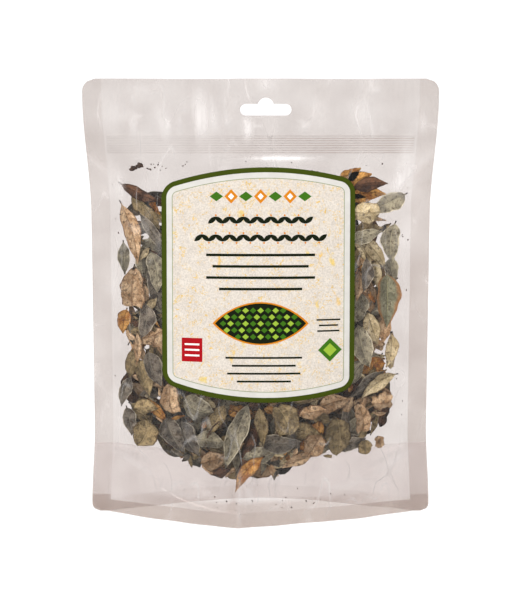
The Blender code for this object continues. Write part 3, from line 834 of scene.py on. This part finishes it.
def film_plies_and_fold_shade(x, z, side):
    """Tone of the layers that lie together at the front's foot, and a painted shade beside the fold up
    its middle.
    """
    if side > 0:
        return 0.0
    # A little more tint low down, and a painted shade in a strip just left of the upright fold
    fold = 0.1 + 0.5 * math.exp(-((x + 16.5) / 3.4) ** 2)
    foot = smooth((19.0 - z) / 6.0) * smooth((z - 7.5) / 1.5) * max(1.0 - (x / 90.0) ** 2, 0.0)
    return smooth((40.0 - z) / 30.0) * fold + 0.75 * foot


def add_film_data(mesh, side, table):
    """Writes the UV map of seals and heights, the film's milk and painted highlights, and its layers
    and painted fold shade.
    """
    while mesh.uv_layers:
        mesh.uv_layers.remove(mesh.uv_layers[0])
    spots = [(x, z) for x, _, z in vertex_places(mesh)]
    write_uvs(mesh, "film", np.array([(0.5 + 0.5 * film_share(x, z), z / HEIGHT) for x, z in spots]))
    write_values(mesh, cloud=[film_milk_and_highlight(x, z, side, table) for x, z in spots],
                 sealed=[film_sealed(x, z, side) for x, z in spots],
                 plies=[film_plies_and_fold_shade(x, z, side) for x, z in spots])


def slot_cutter():
    """The euro slot: a bar with round ends and a round bump above its middle."""
    end = SLOT_HEIGHT / 2.0
    middle = SLOT_LENGTH / 2.0 - end
    radius = (SLOT_BUMP_HALF ** 2 + SLOT_BUMP_RISE ** 2) / (2.0 * SLOT_BUMP_RISE)
    centre = end + SLOT_BUMP_RISE - radius
    spread = math.degrees(math.acos(SLOT_BUMP_HALF / radius))
    points = []
    for cx, cz, r, start, stop in ((middle, 0.0, end, -90.0, 90.0),
                                   (0.0, centre, radius, spread, 180.0 - spread),
                                   (-middle, 0.0, end, 90.0, 270.0)):
        for turn in even(math.radians(start), math.radians(stop), ARC_STEPS):
            points.append((SLOT_X + cx + r * math.cos(turn), SLOT_Z + cz + r * math.sin(turn)))
    count = len(points)
    vertices = [(x * MM, y * MM, z * MM) for y in (-CUT_DEPTH, CUT_DEPTH) for x, z in points]
    faces = [tuple(range(count)), tuple(reversed(range(count, 2 * count)))]
    faces += [(k, count + k, count + (k + 1) % count, (k + 1) % count) for k in range(count)]
    cutter = mesh_of("slot_cutter", vertices, faces)
    outward(cutter)
    return cutter


def over_label(x, z):
    return abs(x - LABEL_X) < LABEL_HALF + 4.0 and LABEL_BOTTOM - 3.0 < z < LABEL_TOP + 3.0


def make_panel(name, side, table, cutter, laminate):
    def place(u, z):
        x = side_x(u, z)
        calm = 1.0 - smooth((abs(u) - SEAL_SHARE + 0.02) / 0.05)
        loose = smooth((z - 206.0) / 30.0) + 1.0 - smooth((z - 8.0) / 40.0)
        lift = folds(x, z, table) + 0.16 * calm * (1.0 + 2.2 * loose) * cockle(x, z, side)
        room = depth(x, z, side)
        lift = max(lift, -0.4 * room)
        if side < 0 and over_label(x, z):
            lift = min(lift, 0.1)
        lift = min(lift, 1.2 if z > 6.0 else 0.5)
        return x, side * (room + lift) * pinch(u) + ripple(x, z), z + foot_lift(x, z)

    # Rows are closer at the foot, the zip and the head, where the film bends most
    rows = even(0.0, 12.0, 8) + even(12.0, 222.0, 112) + even(222.0, 250.0, 22)
    rows += even(250.0, HEIGHT, 18)
    obj = add_grid(name, film_columns(58), sorted(set(rows)), place)
    add_film_data(obj.data, side, table)
    if side > 0:
        obj.data.flip_normals()
    thicken(obj, settings("pouch_film").wall)
    cut = obj.modifiers.new("hang_slot", "BOOLEAN")
    cut.operation = "DIFFERENCE"
    cut.solver = "EXACT"
    cut.object = cutter
    apply_modifiers(obj)
    round_off(obj, 40.0)
    coat(obj, laminate)
    return obj


class PouchFilm(bpy.types.Operator):
    """Clear front and back panels with their seals and hang slot, and the folded base"""
    bl_idname = "leaf_pouch.film"
    bl_label = "Film panels and base"
    bl_options = {"REGISTER", "UNDO"}

    def execute(self, context):
        film = settings("pouch_film")
        laminate = film_material("clear_laminate", tuple(film.tint), tuple(film.seal_tint), film.haze,
                                 film.gloss, True)
        cutter = slot_cutter()
        for name, side, table, node in (("film_front", -1, FRONT_FOLDS, "front_film"),
                                        ("film_back", 1, BACK_FOLDS, "back_film")):
            place_piece(make_panel(name, side, table, cutter, laminate), "film", node)
        bpy.data.objects.remove(cutter, do_unlink=True)
        self.base(film)
        return {"FINISHED"}

    def base(self, film):
        """The gusset: two flaps sealed to the panels and a raised fold between them."""
        trim = 0.6
        gap = 2.0 * PLY

        def place(u, t):
            side = -1 if t <= 0.0 else 1
            along = 2.0 - abs(t)
            x0 = side_x(u, FOOT_RADIUS, trim)
            seal = gusset_seal(x0)
            if along <= 1.0:
                z = PLY + (seal - PLY) * along
                x = side_x(u, z, trim)
                y = depth(x, z, side) - gap
            else:
                share = along - 1.0
                z = seal + (gusset_ridge(x0) - seal) * share
                x = side_x(u, z, trim)
                y = (depth(x0, seal, side) - gap) * (1.0 - share)
            sway = 0.5 * math.sin(0.16 * x) * smooth(along - 1.0)
            sway *= 1.0 - smooth((abs(x) - 70.0) / 20.0)
            return x, side * y * pinch(u), z + foot_lift(x, z) + sway

        path = even(-2.0, 0.0, 24)
        obj = add_grid("base_gusset", film_columns(34), path + [-t for t in reversed(path[:-1])], place)
        spots = vertex_places(obj.data)
        # The front flap's seal, and a thin milky line along the ridge that is partly a painted
        # highlight
        write_values(obj.data,
                     seal=[0.6 * (1.0 - smooth((z - 8.6) / 0.8)) if y < 0.0 else 0.0
                           for _, y, z in spots],
                     cloud=[0.12 * math.exp(-((z - gusset_ridge(x)) / 1.2) ** 2) for x, _, z in spots])
        thicken(obj, film.wall)
        round_off(obj, 50.0)
        coat(obj, film_material("clear_base_film", linear("#fffefe"), linear("#fdfcfb"),
                                film.haze * 0.3, film.gloss, False, 0.12, 0.05, 0.0))
        place_piece(obj, "film", "bottom_gusset")


class PouchZip(bpy.types.Operator):
    """Two halves of the press-to-close zip, each a strip with fine ribs along it"""
    bl_idname = "leaf_pouch.zip"
    bl_label = "Zip"
    bl_options = {"REGISTER", "UNDO"}

    def execute(self, context):
        stuff = zip_material()
        rows = even(-ZIP_STRIP / 2.0, ZIP_STRIP / 2.0, 58)
        for name, side, node in (("zip_ribbed", -1, "zip_rib_track"),
                                 ("zip_grooved", 1, "zip_groove_track")):
            def place(u, z):
                x = (ZIP_HALF_LENGTH + ZIP_TAIL) * u
                wave = 0.5 + 0.5 * math.cos(2.0 * math.pi * z / ZIP_PITCH)
                tall = math.exp(-(z / 1.4) ** 2)
                y = ZIP_HALF_DEPTH - 0.35 - 0.28 * wave * (1.0 - tall) - 0.75 * tall
                close = min(y, max(depth(x, ZIP_Z, side) - 0.35, 0.5))
                return x, side * close, ZIP_Z + z

            obj = add_grid(name, even(-1.0, 1.0, 34), rows, place)
            if side > 0:
                obj.data.flip_normals()
            thicken(obj, ZIP_WALL * MM)
            round_off(obj, 60.0)
            coat(obj, stuff)
            place_piece(obj, "zip", node)
        return {"FINISHED"}


# ---------------------------------------------------------------- label

def label_corner(inset):
    """Half width and corner radius of a label sheet that is inset from the label's edge."""
    return LABEL_HALF - inset, max(LABEL_CORNER - inset * 0.75, 2.0)


def on_label(x, z, lift):
    return x, -depth(x, z, -1) - LABEL_OFF - lift, z


def label_sheet(name, inset, lift, wall, paper):
    half, radius = label_corner(inset)

    def place(d, t):
        reach = abs(d) - (half - radius)
        corner = radius - math.sqrt(max(radius ** 2 - reach * reach, 0.0)) if reach > 0.0 else 0.0
        rise = LABEL_FAN * d - LABEL_ARCH * d * d - corner - inset
        top = LABEL_TOP + rise
        bottom = LABEL_BOTTOM - rise
        return on_label(LABEL_X + d, bottom + (top - bottom) * t, lift)

    corner = [half - radius * share for share in (1.0, 0.72, 0.48, 0.28, 0.13, 0.03, 0.0)]
    flat = even(-corner[0], corner[0], 26)[1:-1]
    across = [-d for d in reversed(corner)] + flat + corner
    obj = add_grid(name, across, even(0.0, 1.0, 48), place)
    thicken(obj, wall * MM)
    coat(obj, paper)
    return obj


def print_patch(name, x0, z0, half_x, half_z, profile, ink, lift=0.24, turn=0.0, cells=10):
    """A printed shape on the label. profile gives its half height, 0 to 1, from left to right."""
    across = math.cos(math.radians(turn))
    up = math.sin(math.radians(turn))

    def place(a, b):
        dx = half_x * a
        dz = half_z * b * max(profile(a), 0.0)
        return on_label(x0 + dx * across - dz * up, z0 + dx * up + dz * across, lift)

    columns = [math.sin(0.5 * math.pi * t) for t in even(-1.0, 1.0, cells)]
    obj = add_grid(name, columns, [-1.0, 0.0, 1.0], place)
    thicken(obj, INK_WALL * MM)
    coat(obj, ink)
    return obj


class PouchLabel(bpy.types.Operator):
    """Paper label with its green border, white band and flecked cream ground"""
    bl_idname = "leaf_pouch.label"
    bl_label = "Label"
    bl_options = {"REGISTER", "UNDO"}

    def execute(self, context):
        label = settings("pouch_label")
        border = label.border / MM
        line = border + label.band / MM
        white = paper_material("white_paper", linear("#cecbc5"))
        border_ink = paper_material("border_ink", tuple(label.green))
        edge = label_sheet("label_edge", 0.0, 0.0, 0.2, border_ink)
        edge.data.materials.append(white)
        # The back of the label is bare paper
        for face in edge.data.polygons:
            face.material_index = 1 if face.normal.y > 0.3 else 0
        made = join("label_sheet", [
            edge,
            label_sheet("label_band", border, 0.13, 0.03, white),
            label_sheet("label_line", line, 0.16, 0.03, paper_material("line_ink", linear("#8d9576"))),
            label_sheet("label_ground", line + LINE_WIDTH, 0.19, 0.03,
                        paper_material("flecked_paper", tuple(label.ground), True)),
        ])
        round_off(made, 30.0)
        place_piece(made, "label", "front_label")
        return {"FINISHED"}


class PouchPrint(bpy.types.Operator):
    """Plain ornament and ruled lines printed on the label"""
    bl_idname = "leaf_pouch.print"
    bl_label = "Label print"
    bl_options = {"REGISTER", "UNDO"}

    def execute(self, context):
        dark, green, lime, amber, red, white = (
            paper_material(name + "_ink", linear(code)) for name, code in (
                ("dark_green", "#12190a"), ("leaf_green", "#3a6a16"), ("lime", "#92b03a"),
                ("amber", "#cc7c18"), ("red", "#a30f18"), ("white", "#f3efe9")))
        parts = []

        def put(*args, **kwargs):
            parts.append(print_patch(f"print_{len(parts)}", *args, **kwargs))

        def flat(a):
            return 1.0

        def lozenge(a):
            return 1.0 - abs(a)

        def lens(a):
            return (1.0 - a * a) ** 0.9

        def ruled(x, half_z, cells, lines):
            for z, half in lines:
                put(x, z, half, half_z, flat, dark, cells=cells)

        # Row of lozenges at the head
        for k in range(-3, 4):
            open_one = k % 2 == 0
            put(k * 9.2, 207.5, 4.2, 4.4 if open_one else 3.0, lozenge, amber if open_one else green)
            if open_one:
                put(k * 9.2, 207.5, 1.9, 2.0, lozenge, white, lift=TOP_PRINT)
        # Two braids of petals and ruled lines
        for z, links in ((193.0, 7), (182.0, 9)):
            for k in range(-links, links + 1):
                put(k * 4.3, z, 3.4, 1.5, lens, dark, turn=38.0 if k % 2 else -38.0, cells=8)
            for k in range(-links, links):
                put(k * 4.3 + 2.15, z + (3.0 if k % 2 else -3.0), 0.75, 0.75, lozenge, amber, cells=4)
        ruled(0.0, 0.8, 18, ((171.5, 34.0), (164.5, 30.0), (157.5, 34.0), (150.5, 26.0)))
        # Check of lozenges in a lens-shaped field
        put(0.0, CHECK_Z, 30.0, 13.5, lens, amber, cells=28)
        put(0.0, CHECK_Z, 28.4, 12.6, lens, dark, lift=TOP_PRINT, cells=28)
        for row in range(-2, 3):
            for col in range(-5, 6):
                x = col * 4.7 + (2.35 if row % 2 else 0.0)
                z = row * 4.1
                if (x / 24.5) ** 2 + (z / 10.5) ** 2 < 1.0:
                    put(x, CHECK_Z + z, 2.1, 1.8, lozenge, (lime, green)[(row + col) % 2], lift=0.32,
                        cells=4)
        # Foot: ruled lines, a red tab and a green one
        ruled(2.0, 0.6, 16, ((107.5, 24.0), (102.5, 20.0), (97.5, 23.0), (92.5, 17.0)))
        put(-43.0, 112.0, 6.5, 7.5, flat, red, cells=6)
        for z in (115.5, 112.0, 108.5):
            put(-43.0, z, 4.6, 0.55, flat, white, lift=TOP_PRINT, cells=4)
        put(43.5, 112.0, 7.5, 7.5, lozenge, green, cells=8)
        put(43.5, 112.0, 4.2, 4.2, lozenge, lime, lift=TOP_PRINT, cells=6)
        ruled(42.5, 0.5, 6, ((131.0, 7.5), (127.5, 6.0), (124.0, 7.0)))
        made = join("label_print", parts)
        place_piece(made, "label")
        return {"FINISHED"}


# ---------------------------------------------------------------- leaves

class Blank:
    """A thin closed grid that every leaf of one fineness is cut from."""

    def __init__(self, name, rows, columns):
        obj = add_grid(name, even(-1.0, 1.0, rows - 1), even(-1.0, 1.0, columns - 1),
                       lambda u, v: (u / MM, v / MM, 0.0))
        thicken(obj, 0.1)
        places = vertex_places(obj.data) * MM
        self.faces = [tuple(face.vertices) for face in obj.data.polygons]
        bpy.data.objects.remove(obj, do_unlink=True)
        self.uv = (places[:, :2] + 1.0) / 2.0
        self.i = np.rint(self.uv[:, 0] * (rows - 1)).astype(int)
        self.j = np.rint(self.uv[:, 1] * (columns - 1)).astype(int)
        self.under = places[:, 2] < 0.0
        self.u = np.linspace(-1.0, 1.0, rows)[:, None] * np.ones((1, columns))
        self.v = np.linspace(-1.0, 1.0, columns)[None, :] * np.ones((rows, 1))
        self.up = self.refine(rows, max(34, rows))
        self.out = self.refine(columns, 18)

    @staticmethod
    def refine(count, target):
        """Weights that spread a row of count values over target places."""
        spots = np.linspace(0.0, count - 1.0, target)
        low = np.minimum(spots.astype(int), count - 2)
        weights = np.zeros((target, count))
        weights[np.arange(target), low] = 1.0 - (spots - low)
        weights[np.arange(target), low + 1] += spots - low
        return weights


class Pile:
    """Leaves laid one behind another, inward from one panel, over a map with cells of 1 mm."""

    def __init__(self, side, thickness):
        self.side = side
        self.thick = thickness
        self.wall = np.array([[depth(x, z, side) for z in range(0, PILE_TOP + 1)]
                              for x in range(-PILE_HALF, PILE_HALF + 1)])
        self.level = np.full(self.wall.shape, LEAF_CLEAR)

    def look(self, table, x, z):
        """Values of a map between its cells."""
        fx = np.clip(x + PILE_HALF, 0.0, 2.0 * PILE_HALF - 1.0)
        fz = np.clip(z, 0.0, PILE_TOP - 1.0)
        i = fx.astype(int)
        k = fz.astype(int)
        a = fx - i
        b = fz - k
        return ((table[i, k] * (1 - a) + table[i + 1, k] * a) * (1 - b)
                + (table[i, k + 1] * (1 - a) + table[i + 1, k + 1] * a) * b)

    def lay(self, blank, x0, z0, turn, length, width, cut, rng, stiff=0.5, force=False, curl=1.0,
            spare=0.12, reserve=0.0):
        """Lays one leaf and returns its vertices in metres, or None where there is no room.
        reserve keeps it away from the middle, for the leaves that come behind it, and spare is
        the share of it that may lie over the room and is pressed flat there."""
        swell_power, tip_power, end = CUTS[cut]
        torn = cut in ("broken", "ragged")
        u, v = blank.u, blank.v
        # Outline
        stalk_end = -1.0 if torn else -0.83
        q = np.clip((u - stalk_end) / (1.0 - stalk_end), 0.0, 1.0) * end
        peak = swell_power / (swell_power + tip_power)
        fullest = peak ** swell_power * (1.0 - peak) ** tip_power
        swell = (q ** swell_power * (1.0 - q) ** tip_power) / fullest
        phase = rng.uniform(0.0, 6.3)
        rough = 0.18 if cut == "ragged" else 0.08
        edge = (1.0 + rough * np.sin(5.0 * u + phase + 1.7 * np.sign(v))
                + 0.5 * rough * np.sin(13.0 * u + 2.0 * phase))
        lean = rng.uniform(-0.14, 0.14)
        half = np.maximum(0.5 * width * swell * edge * (1.0 + lean * np.sign(v)), STALK_HALF)
        bend = rng.uniform(-0.11, 0.11) * length
        a = 0.5 * length * u + (0.05 * width * np.sin(4.0 * v + phase) if torn else 0.0)
        b = half * v + bend * (u * u - 0.35)
        across = math.cos(math.radians(turn))
        up = math.sin(math.radians(turn))
        x = x0 + a * across - b * up
        z = z0 + a * up + b * across
        # Curl
        fold = rng.uniform(0.12, 0.36) * width * curl * rng.choice((-1.0, 1.0, 1.0))
        hook = rng.uniform(-0.04, 0.11) * length * curl
        twist = rng.uniform(-0.16, 0.16) * width * curl
        wavy = rng.uniform(0.03, 0.13) * width * curl
        share = np.clip(swell, 0.0, 1.0)
        shape = (fold * np.abs(v) ** 1.5 * share + hook * (u - 0.2) ** 2 + twist * u * v
                 + wavy * np.sin(6.0 * u + phase) * np.abs(v))
        shape = shape - shape.min()
        # Rest on what lies in front, within the room
        wall = self.look(self.wall, x, z)
        room = wall - MIDDLE_CLEAR - self.thick - reserve
        low = self.look(self.level, x, z)
        base = stiff * low.max() + (1.0 - stiff) * low.mean()
        inward = np.maximum(base + shape, low + 0.12)
        if (inward > room).mean() > spare and not force:
            return None
        inward = np.maximum(np.minimum(inward, room), LEAF_CLEAR * 0.8)
        dense = [blank.up @ grid @ blank.out.T for grid in (x, z, inward)]
        i = np.clip(np.rint(dense[0] + PILE_HALF).astype(int), 0, 2 * PILE_HALF)
        k = np.clip(np.rint(dense[1]).astype(int), 0, PILE_TOP)
        np.maximum.at(self.level, (i.ravel(), k.ravel()), dense[2].ravel() + self.thick + LEAF_GAP)
        under = ~blank.under if self.side > 0 else blank.under
        pick = (blank.i, blank.j)
        y = self.side * (wall[pick] - inward[pick] - np.where(under, 0.0, self.thick))
        return np.stack([x[pick], y, z[pick]], axis=1) * MM


def leaf_piece(name, blank, leaves, kinds, tones):
    """One mesh from laid leaves, each with its kind's material and its own tone."""
    count = len(blank.i)
    faces = [tuple(n + k * count for n in face) for k in range(len(leaves)) for face in blank.faces]
    obj = mesh_of(name, np.concatenate(leaves).tolist(), faces)
    present = [kind for kind in PALETTE if kind in kinds]
    coat(obj, *(bpy.data.materials.get("dried_leaf_" + kind) or leaf_material(kind)
                for kind in present))
    indices = [present.index(kind) for kind in kinds for _ in blank.faces]
    obj.data.polygons.foreach_set("material_index", indices)
    write_uvs(obj.data, "blade", np.tile(blank.uv, (len(leaves), 1)))
    write_values(obj.data, tone=np.repeat(tones, count))
    round_off(obj, 50.0)
    return obj


def side_light(x):
    """The pile is thin at the sides, where light gets in, so its leaves look paler there."""
    return 0.4 * smooth((abs(x) - 45.0) / 20.0)


def scatter(pile, blank, count, rng, zones, sizes, kinds, stiff, tones, spare, reserve):
    """Throws leaves at random into zones of x and z, and groups them by zone."""
    groups = [[] for _ in zones]
    tries = 0
    laid = 0
    while laid < count and tries < count * 6:
        tries += 1
        group, (x_low, x_high, z_low, z_high) = rng.choice(list(zip(groups, zones)))
        x = rng.uniform(x_low, x_high)
        z = rng.uniform(z_low, z_high)
        length = rng.uniform(*sizes)
        turn = rng.uniform(0.0, 360.0)
        width = length * rng.choice((0.22, 0.34, 0.4, 0.46, 0.54)) * rng.uniform(0.85, 1.1)
        reach = 0.46 * length
        ends = [(x + s * reach * math.cos(math.radians(turn)),
                 z + s * reach * math.sin(math.radians(turn))) for s in (-1, 1)]
        if not all(-86.0 < ex < 84.5 and fill_floor(ex) + 1.0 < ez < fill_top(ex) for ex, ez in ends):
            continue
        cut = rng.choice(("ovate", "ovate", "lance", "lance", "broken", "broken", "ragged", "round"))
        done = pile.lay(blank, x, z, turn, length, width, cut, rng, stiff, spare=spare, reserve=reserve)
        if done is not None:
            laid += 1
            group.append((done, rng.choice(kinds), rng.uniform(*tones) + side_light(x)))
    return groups


def node_pose(name):
    """Middle, direction, length and width of a leaf of the frame, seen from the front."""
    flat = vertex_places(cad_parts[name].data)[:, (0, 2)]
    turns = np.linalg.eigh(np.cov((flat - flat.mean(axis=0)).T))[1]
    main, side = turns[:, 1], turns[:, 0]
    along, across = flat @ main, flat @ side
    x, z = (main * (along.min() + along.max()) + side * (across.min() + across.max())) / 2.0
    return x, z, math.degrees(math.atan2(main[1], main[0])), np.ptp(along), np.ptp(across)


class PouchLeaves(bpy.types.Operator):
    """Dried leaves: the ones against the films first, then the loose fill behind them"""
    bl_idname = "leaf_pouch.leaves"
    bl_label = "Dried leaves"
    bl_options = {"REGISTER", "UNDO"}

    def execute(self, context):
        leaf = settings("pouch_leaf")
        fine = Blank("leaf_blank_fine", 25, 9)
        middling = Blank("leaf_blank_middling", 15, 5)
        coarse = Blank("leaf_blank_coarse", 8, 3)
        rng = random.Random(leaf.seed)
        front, back = (Pile(side, leaf.thickness / MM) for side in (-1, 1))

        for number, (x, z, turn, length, width, kind, cut) in enumerate(FRONT_LEAVES, 1):
            laid = front.lay(fine, x, z, turn, length, width, cut, rng, 0.5, True, 0.9, reserve=1.0)
            obj = leaf_piece(f"leaf_front_{number:02d}", fine, [laid], [kind],
                             [rng.uniform(0.3, 1.15) + side_light(x)])
            place_piece(obj, SLOTS[kind], f"front_leaf_{number:02d}")
        laid = []
        for x, z, turn, length, width, kind, cut in NEAR_LEAVES:
            done = front.lay(middling, x, z, turn, length, width, cut, rng, 0.35, True, reserve=0.7)
            laid.append((done, kind, rng.uniform(0.1, 0.95) + side_light(x)))
        place_piece(leaf_piece("leaves_front_near", middling, *zip(*laid)), "leaf_olive")

        for number in range(1, BACK_LEAVES + 1):
            kind = BACK_KINDS[(number - 1) % len(BACK_KINDS)]
            node = f"back_leaf_{number:02d}"
            x, z, turn, length, width = node_pose(node)
            done = back.lay(fine, x, z, turn, length, width * 1.1, rng.choice(("ovate", "lance")), rng,
                            0.5, True, 0.9, reserve=1.0)
            obj = leaf_piece(f"leaf_back_{number:02d}", fine, [done], [kind], [rng.uniform(0.25, 1.05)])
            place_piece(obj, SLOTS[kind], node)

        # The fill's low tones are painted shade: leaves deeper in the pile are drawn darker
        for name, pile, count, blank, stiff, kinds, sizes, tones, spare, reserve, zones in (
                ("front_scrap", front, 110, coarse, 0.6, SCRAP_KINDS, (5.0, 12.0), (0.1, 1.1), 0.3, 0.5,
                 EDGE_ZONES),
                ("front_row", front, 210, middling, 0.5, ROW_KINDS, (11.0, 27.0), (-0.1, 1.0), 0.8, 0.3,
                 EDGE_ZONES),
                ("front_fill", front, leaf.front_fill, coarse, 0.4, FILL_KINDS, (13.0, 28.0),
                 (-0.95, -0.1), 0.4, 0.0, FRONT_ZONES),
                ("back_row", back, 180, middling, 0.5, ROW_KINDS, (12.0, 30.0), (-0.1, 1.0), 0.5, 0.3,
                 BACK_ZONES),
                ("back_fill", back, leaf.back_fill, coarse, 0.35, FILL_KINDS, (14.0, 30.0),
                 (-0.95, -0.1), 0.4, 0.0, BACK_ZONES)):
            groups = scatter(pile, blank, count, rng, zones, sizes, kinds, stiff, tones, spare, reserve)
            for number, group in enumerate(groups, 1):
                if group:
                    obj = leaf_piece(f"leaves_{name}_{number}", blank, *zip(*group))
                    place_piece(obj, "leaf_olive")
        return {"FINISHED"}


class PouchStalks(bpy.types.Operator):
    """Finish of the two loose leaf stalks, and the crumbs beside the leaves"""
    bl_idname = "leaf_pouch.stalks"
    bl_label = "Stalks and crumbs"
    bl_options = {"REGISTER", "UNDO"}

    def execute(self, context):
        stuff = stalk_material()
        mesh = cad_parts["leaf_stalk_2"].data
        if mesh.materials:
            mesh.materials[0] = stuff
        else:
            mesh.materials.append(stuff)
        scrap = join("stalk_scrap", [
            add_speck(3, x, z, lean, long, high, 0.75, 1.35, 1.0)
            for x, z, long, high, lean in ((-79.4, 224.4, 2.5, 1.5, 0.3),
                                           (-75.4, 226.2, 2.3, 1.7, 0.1))])
        round_off(scrap, 60.0)
        coat(scrap, stuff)
        place_piece(scrap, "stalk", "leaf_stalk_1")

        # Crumbs beside the stalk, along the foot, at the side seals, over the leaves and under them
        rng = random.Random(31)
        spots = [(-62 + rng.uniform(-9, 9), 226 + rng.uniform(-2, 2)) for _ in range(9)]
        spots += [(-47, 227), (-46, 228.5), (-48.5, 226), (-70, 224), (-66, 225)]
        spots += [(rng.uniform(-30, 38), rng.uniform(9.5, 17)) for _ in range(16)]
        spots += [(rng.choice((-1, 1)) * rng.uniform(86, 93), rng.uniform(60, 215)) for _ in range(16)]
        spots += [(rng.uniform(-85, 85), rng.uniform(216, 229)) for _ in range(10)]
        spots += [(rng.uniform(-70, 70), rng.uniform(14, 26)) for _ in range(10)]
        chips = []
        for x, z in spots:
            size = rng.uniform(0.25, 0.65)
            stretch = rng.uniform(0.6, 1.6)
            lean = rng.uniform(0.0, 3.14)
            chips.append(add_speck(1, x, z, lean, size * stretch, size / stretch, 0.28, 0.75))
        made = join("leaf_crumbs", chips)
        coat(made, stuff)
        place_piece(made, "stalk")
        return {"FINISHED"}


# ---------------------------------------------------------------- stage

class PouchStage(bpy.types.Operator):
    """Pale floor, soft studio light and camera"""
    bl_idname = "leaf_pouch.stage"
    bl_label = "Stage"
    bl_options = {"REGISTER", "UNDO"}

    def execute(self, context):
        stage = settings("pouch_stage")
        scene = context.scene
        self.floor(tuple(stage.floor))
        self.backdrop(scene)
        aim = Vector((0.0, 0.0, AIM_HEIGHT))
        for name, place, size, size_y, power in LIGHTS:
            light = bpy.data.lights.new(name, "AREA")
            light.shape = "RECTANGLE"
            light.size = size
            light.size_y = size_y
            light.energy = power
            self.point(scene, name, light, Vector(place), aim)

        view = bpy.data.cameras.new("camera")
        view.lens = LENS
        view.sensor_width = SENSOR
        view.clip_start = 0.05
        away = stage.distance
        target = Vector((SIDE_STEP * MM, 0.0, AIM_HEIGHT))
        spot = target + Vector((0.0, -away * math.cos(stage.elevation),
                                away * math.sin(stage.elevation)))
        scene.camera = self.point(scene, "camera", view, spot, target)
        scene.view_settings.view_transform = "Standard"
        return {"FINISHED"}

    def floor(self, colour):
        """A wide floor of lit acrylic."""
        deselect()
        bpy.ops.mesh.primitive_grid_add(x_subdivisions=8, y_subdivisions=8, size=60.0)
        floor = active()
        floor.name = "floor"
        made, node = new_material("lit_white_acrylic")
        grain = node("TexNoise", node("TexCoord").outputs["Object"], Scale=3.0)
        tone = node("ValToRGB", grain, stops=((0.3, tuple(0.985 * c for c in colour)), (0.7, colour)))
        node("OutputMaterial", node("BsdfPrincipled", tone, Roughness=0.85, Specular_IOR_Level=0.1,
                                    Emission_Color=WHITE, Emission_Strength=1.0))
        coat(floor, made)

    def backdrop(self, scene):
        """A white sky that looks as bright as the floor, but lights the pouch less."""
        world = bpy.data.worlds.new("studio")
        scene.world = world
        world.use_nodes = True
        sky = world.node_tree
        backing = sky.nodes["Background"]
        backing.inputs["Color"].default_value = (*WHITE, 1.0)
        seen = add_node(sky, "LightPath").outputs["Is Camera Ray"]
        strength = add_node(sky, "Math/MULTIPLY_ADD", seen, 0.5, 0.6)
        sky.links.new(strength.outputs[0], backing.inputs["Strength"])

    def point(self, scene, name, data, place, target):
        """Adds a light or camera that looks at a target."""
        obj = bpy.data.objects.new(name, data)
        scene.collection.objects.link(obj)
        obj.location = place
        obj.rotation_euler = (target - place).to_track_quat("-Z", "Y").to_euler()
        return obj


class PouchPanel(bpy.types.Panel):
    """Sidebar list of the pouch's pieces and settings"""
    bl_idname = "VIEW3D_PT_leaf_pouch"
    bl_label = "Leaf pouch"
    bl_space_type = "VIEW_3D"
    bl_region_type = "UI"
    bl_category = "Leaf pouch"

    def draw(self, context):
        layout = self.layout
        for name in GROUPS:
            box = layout.box()
            group = getattr(context.scene, name)
            for prop in group.bl_rna.properties.keys():
                if prop not in ("rna_type", "name"):
                    box.prop(group, prop)
        for operator in OPERATORS:
            layout.operator(operator.bl_idname)


OPERATORS = (PouchStage, PouchFilm, PouchZip, PouchLabel, PouchPrint, PouchLeaves, PouchStalks)
CLASSES = (*GROUPS.values(), *OPERATORS, PouchPanel)


def register():
    for cls in CLASSES:
        bpy.utils.register_class(cls)
    for name, cls in GROUPS.items():
        setattr(bpy.types.Scene, name, bpy.props.PointerProperty(type=cls))


def unregister():
    for name in GROUPS:
        delattr(bpy.types.Scene, name)
    for cls in reversed(CLASSES):
        bpy.utils.unregister_class(cls)


def main():
    register()
    bpy.ops.leaf_pouch.stage()
    bpy.ops.leaf_pouch.film()
    bpy.ops.leaf_pouch.zip()
    bpy.ops.leaf_pouch.label()
    bpy.ops.leaf_pouch.print()
    bpy.ops.leaf_pouch.leaves()
    bpy.ops.leaf_pouch.stalks()
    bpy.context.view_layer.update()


if __name__ == "__main__":
    main()
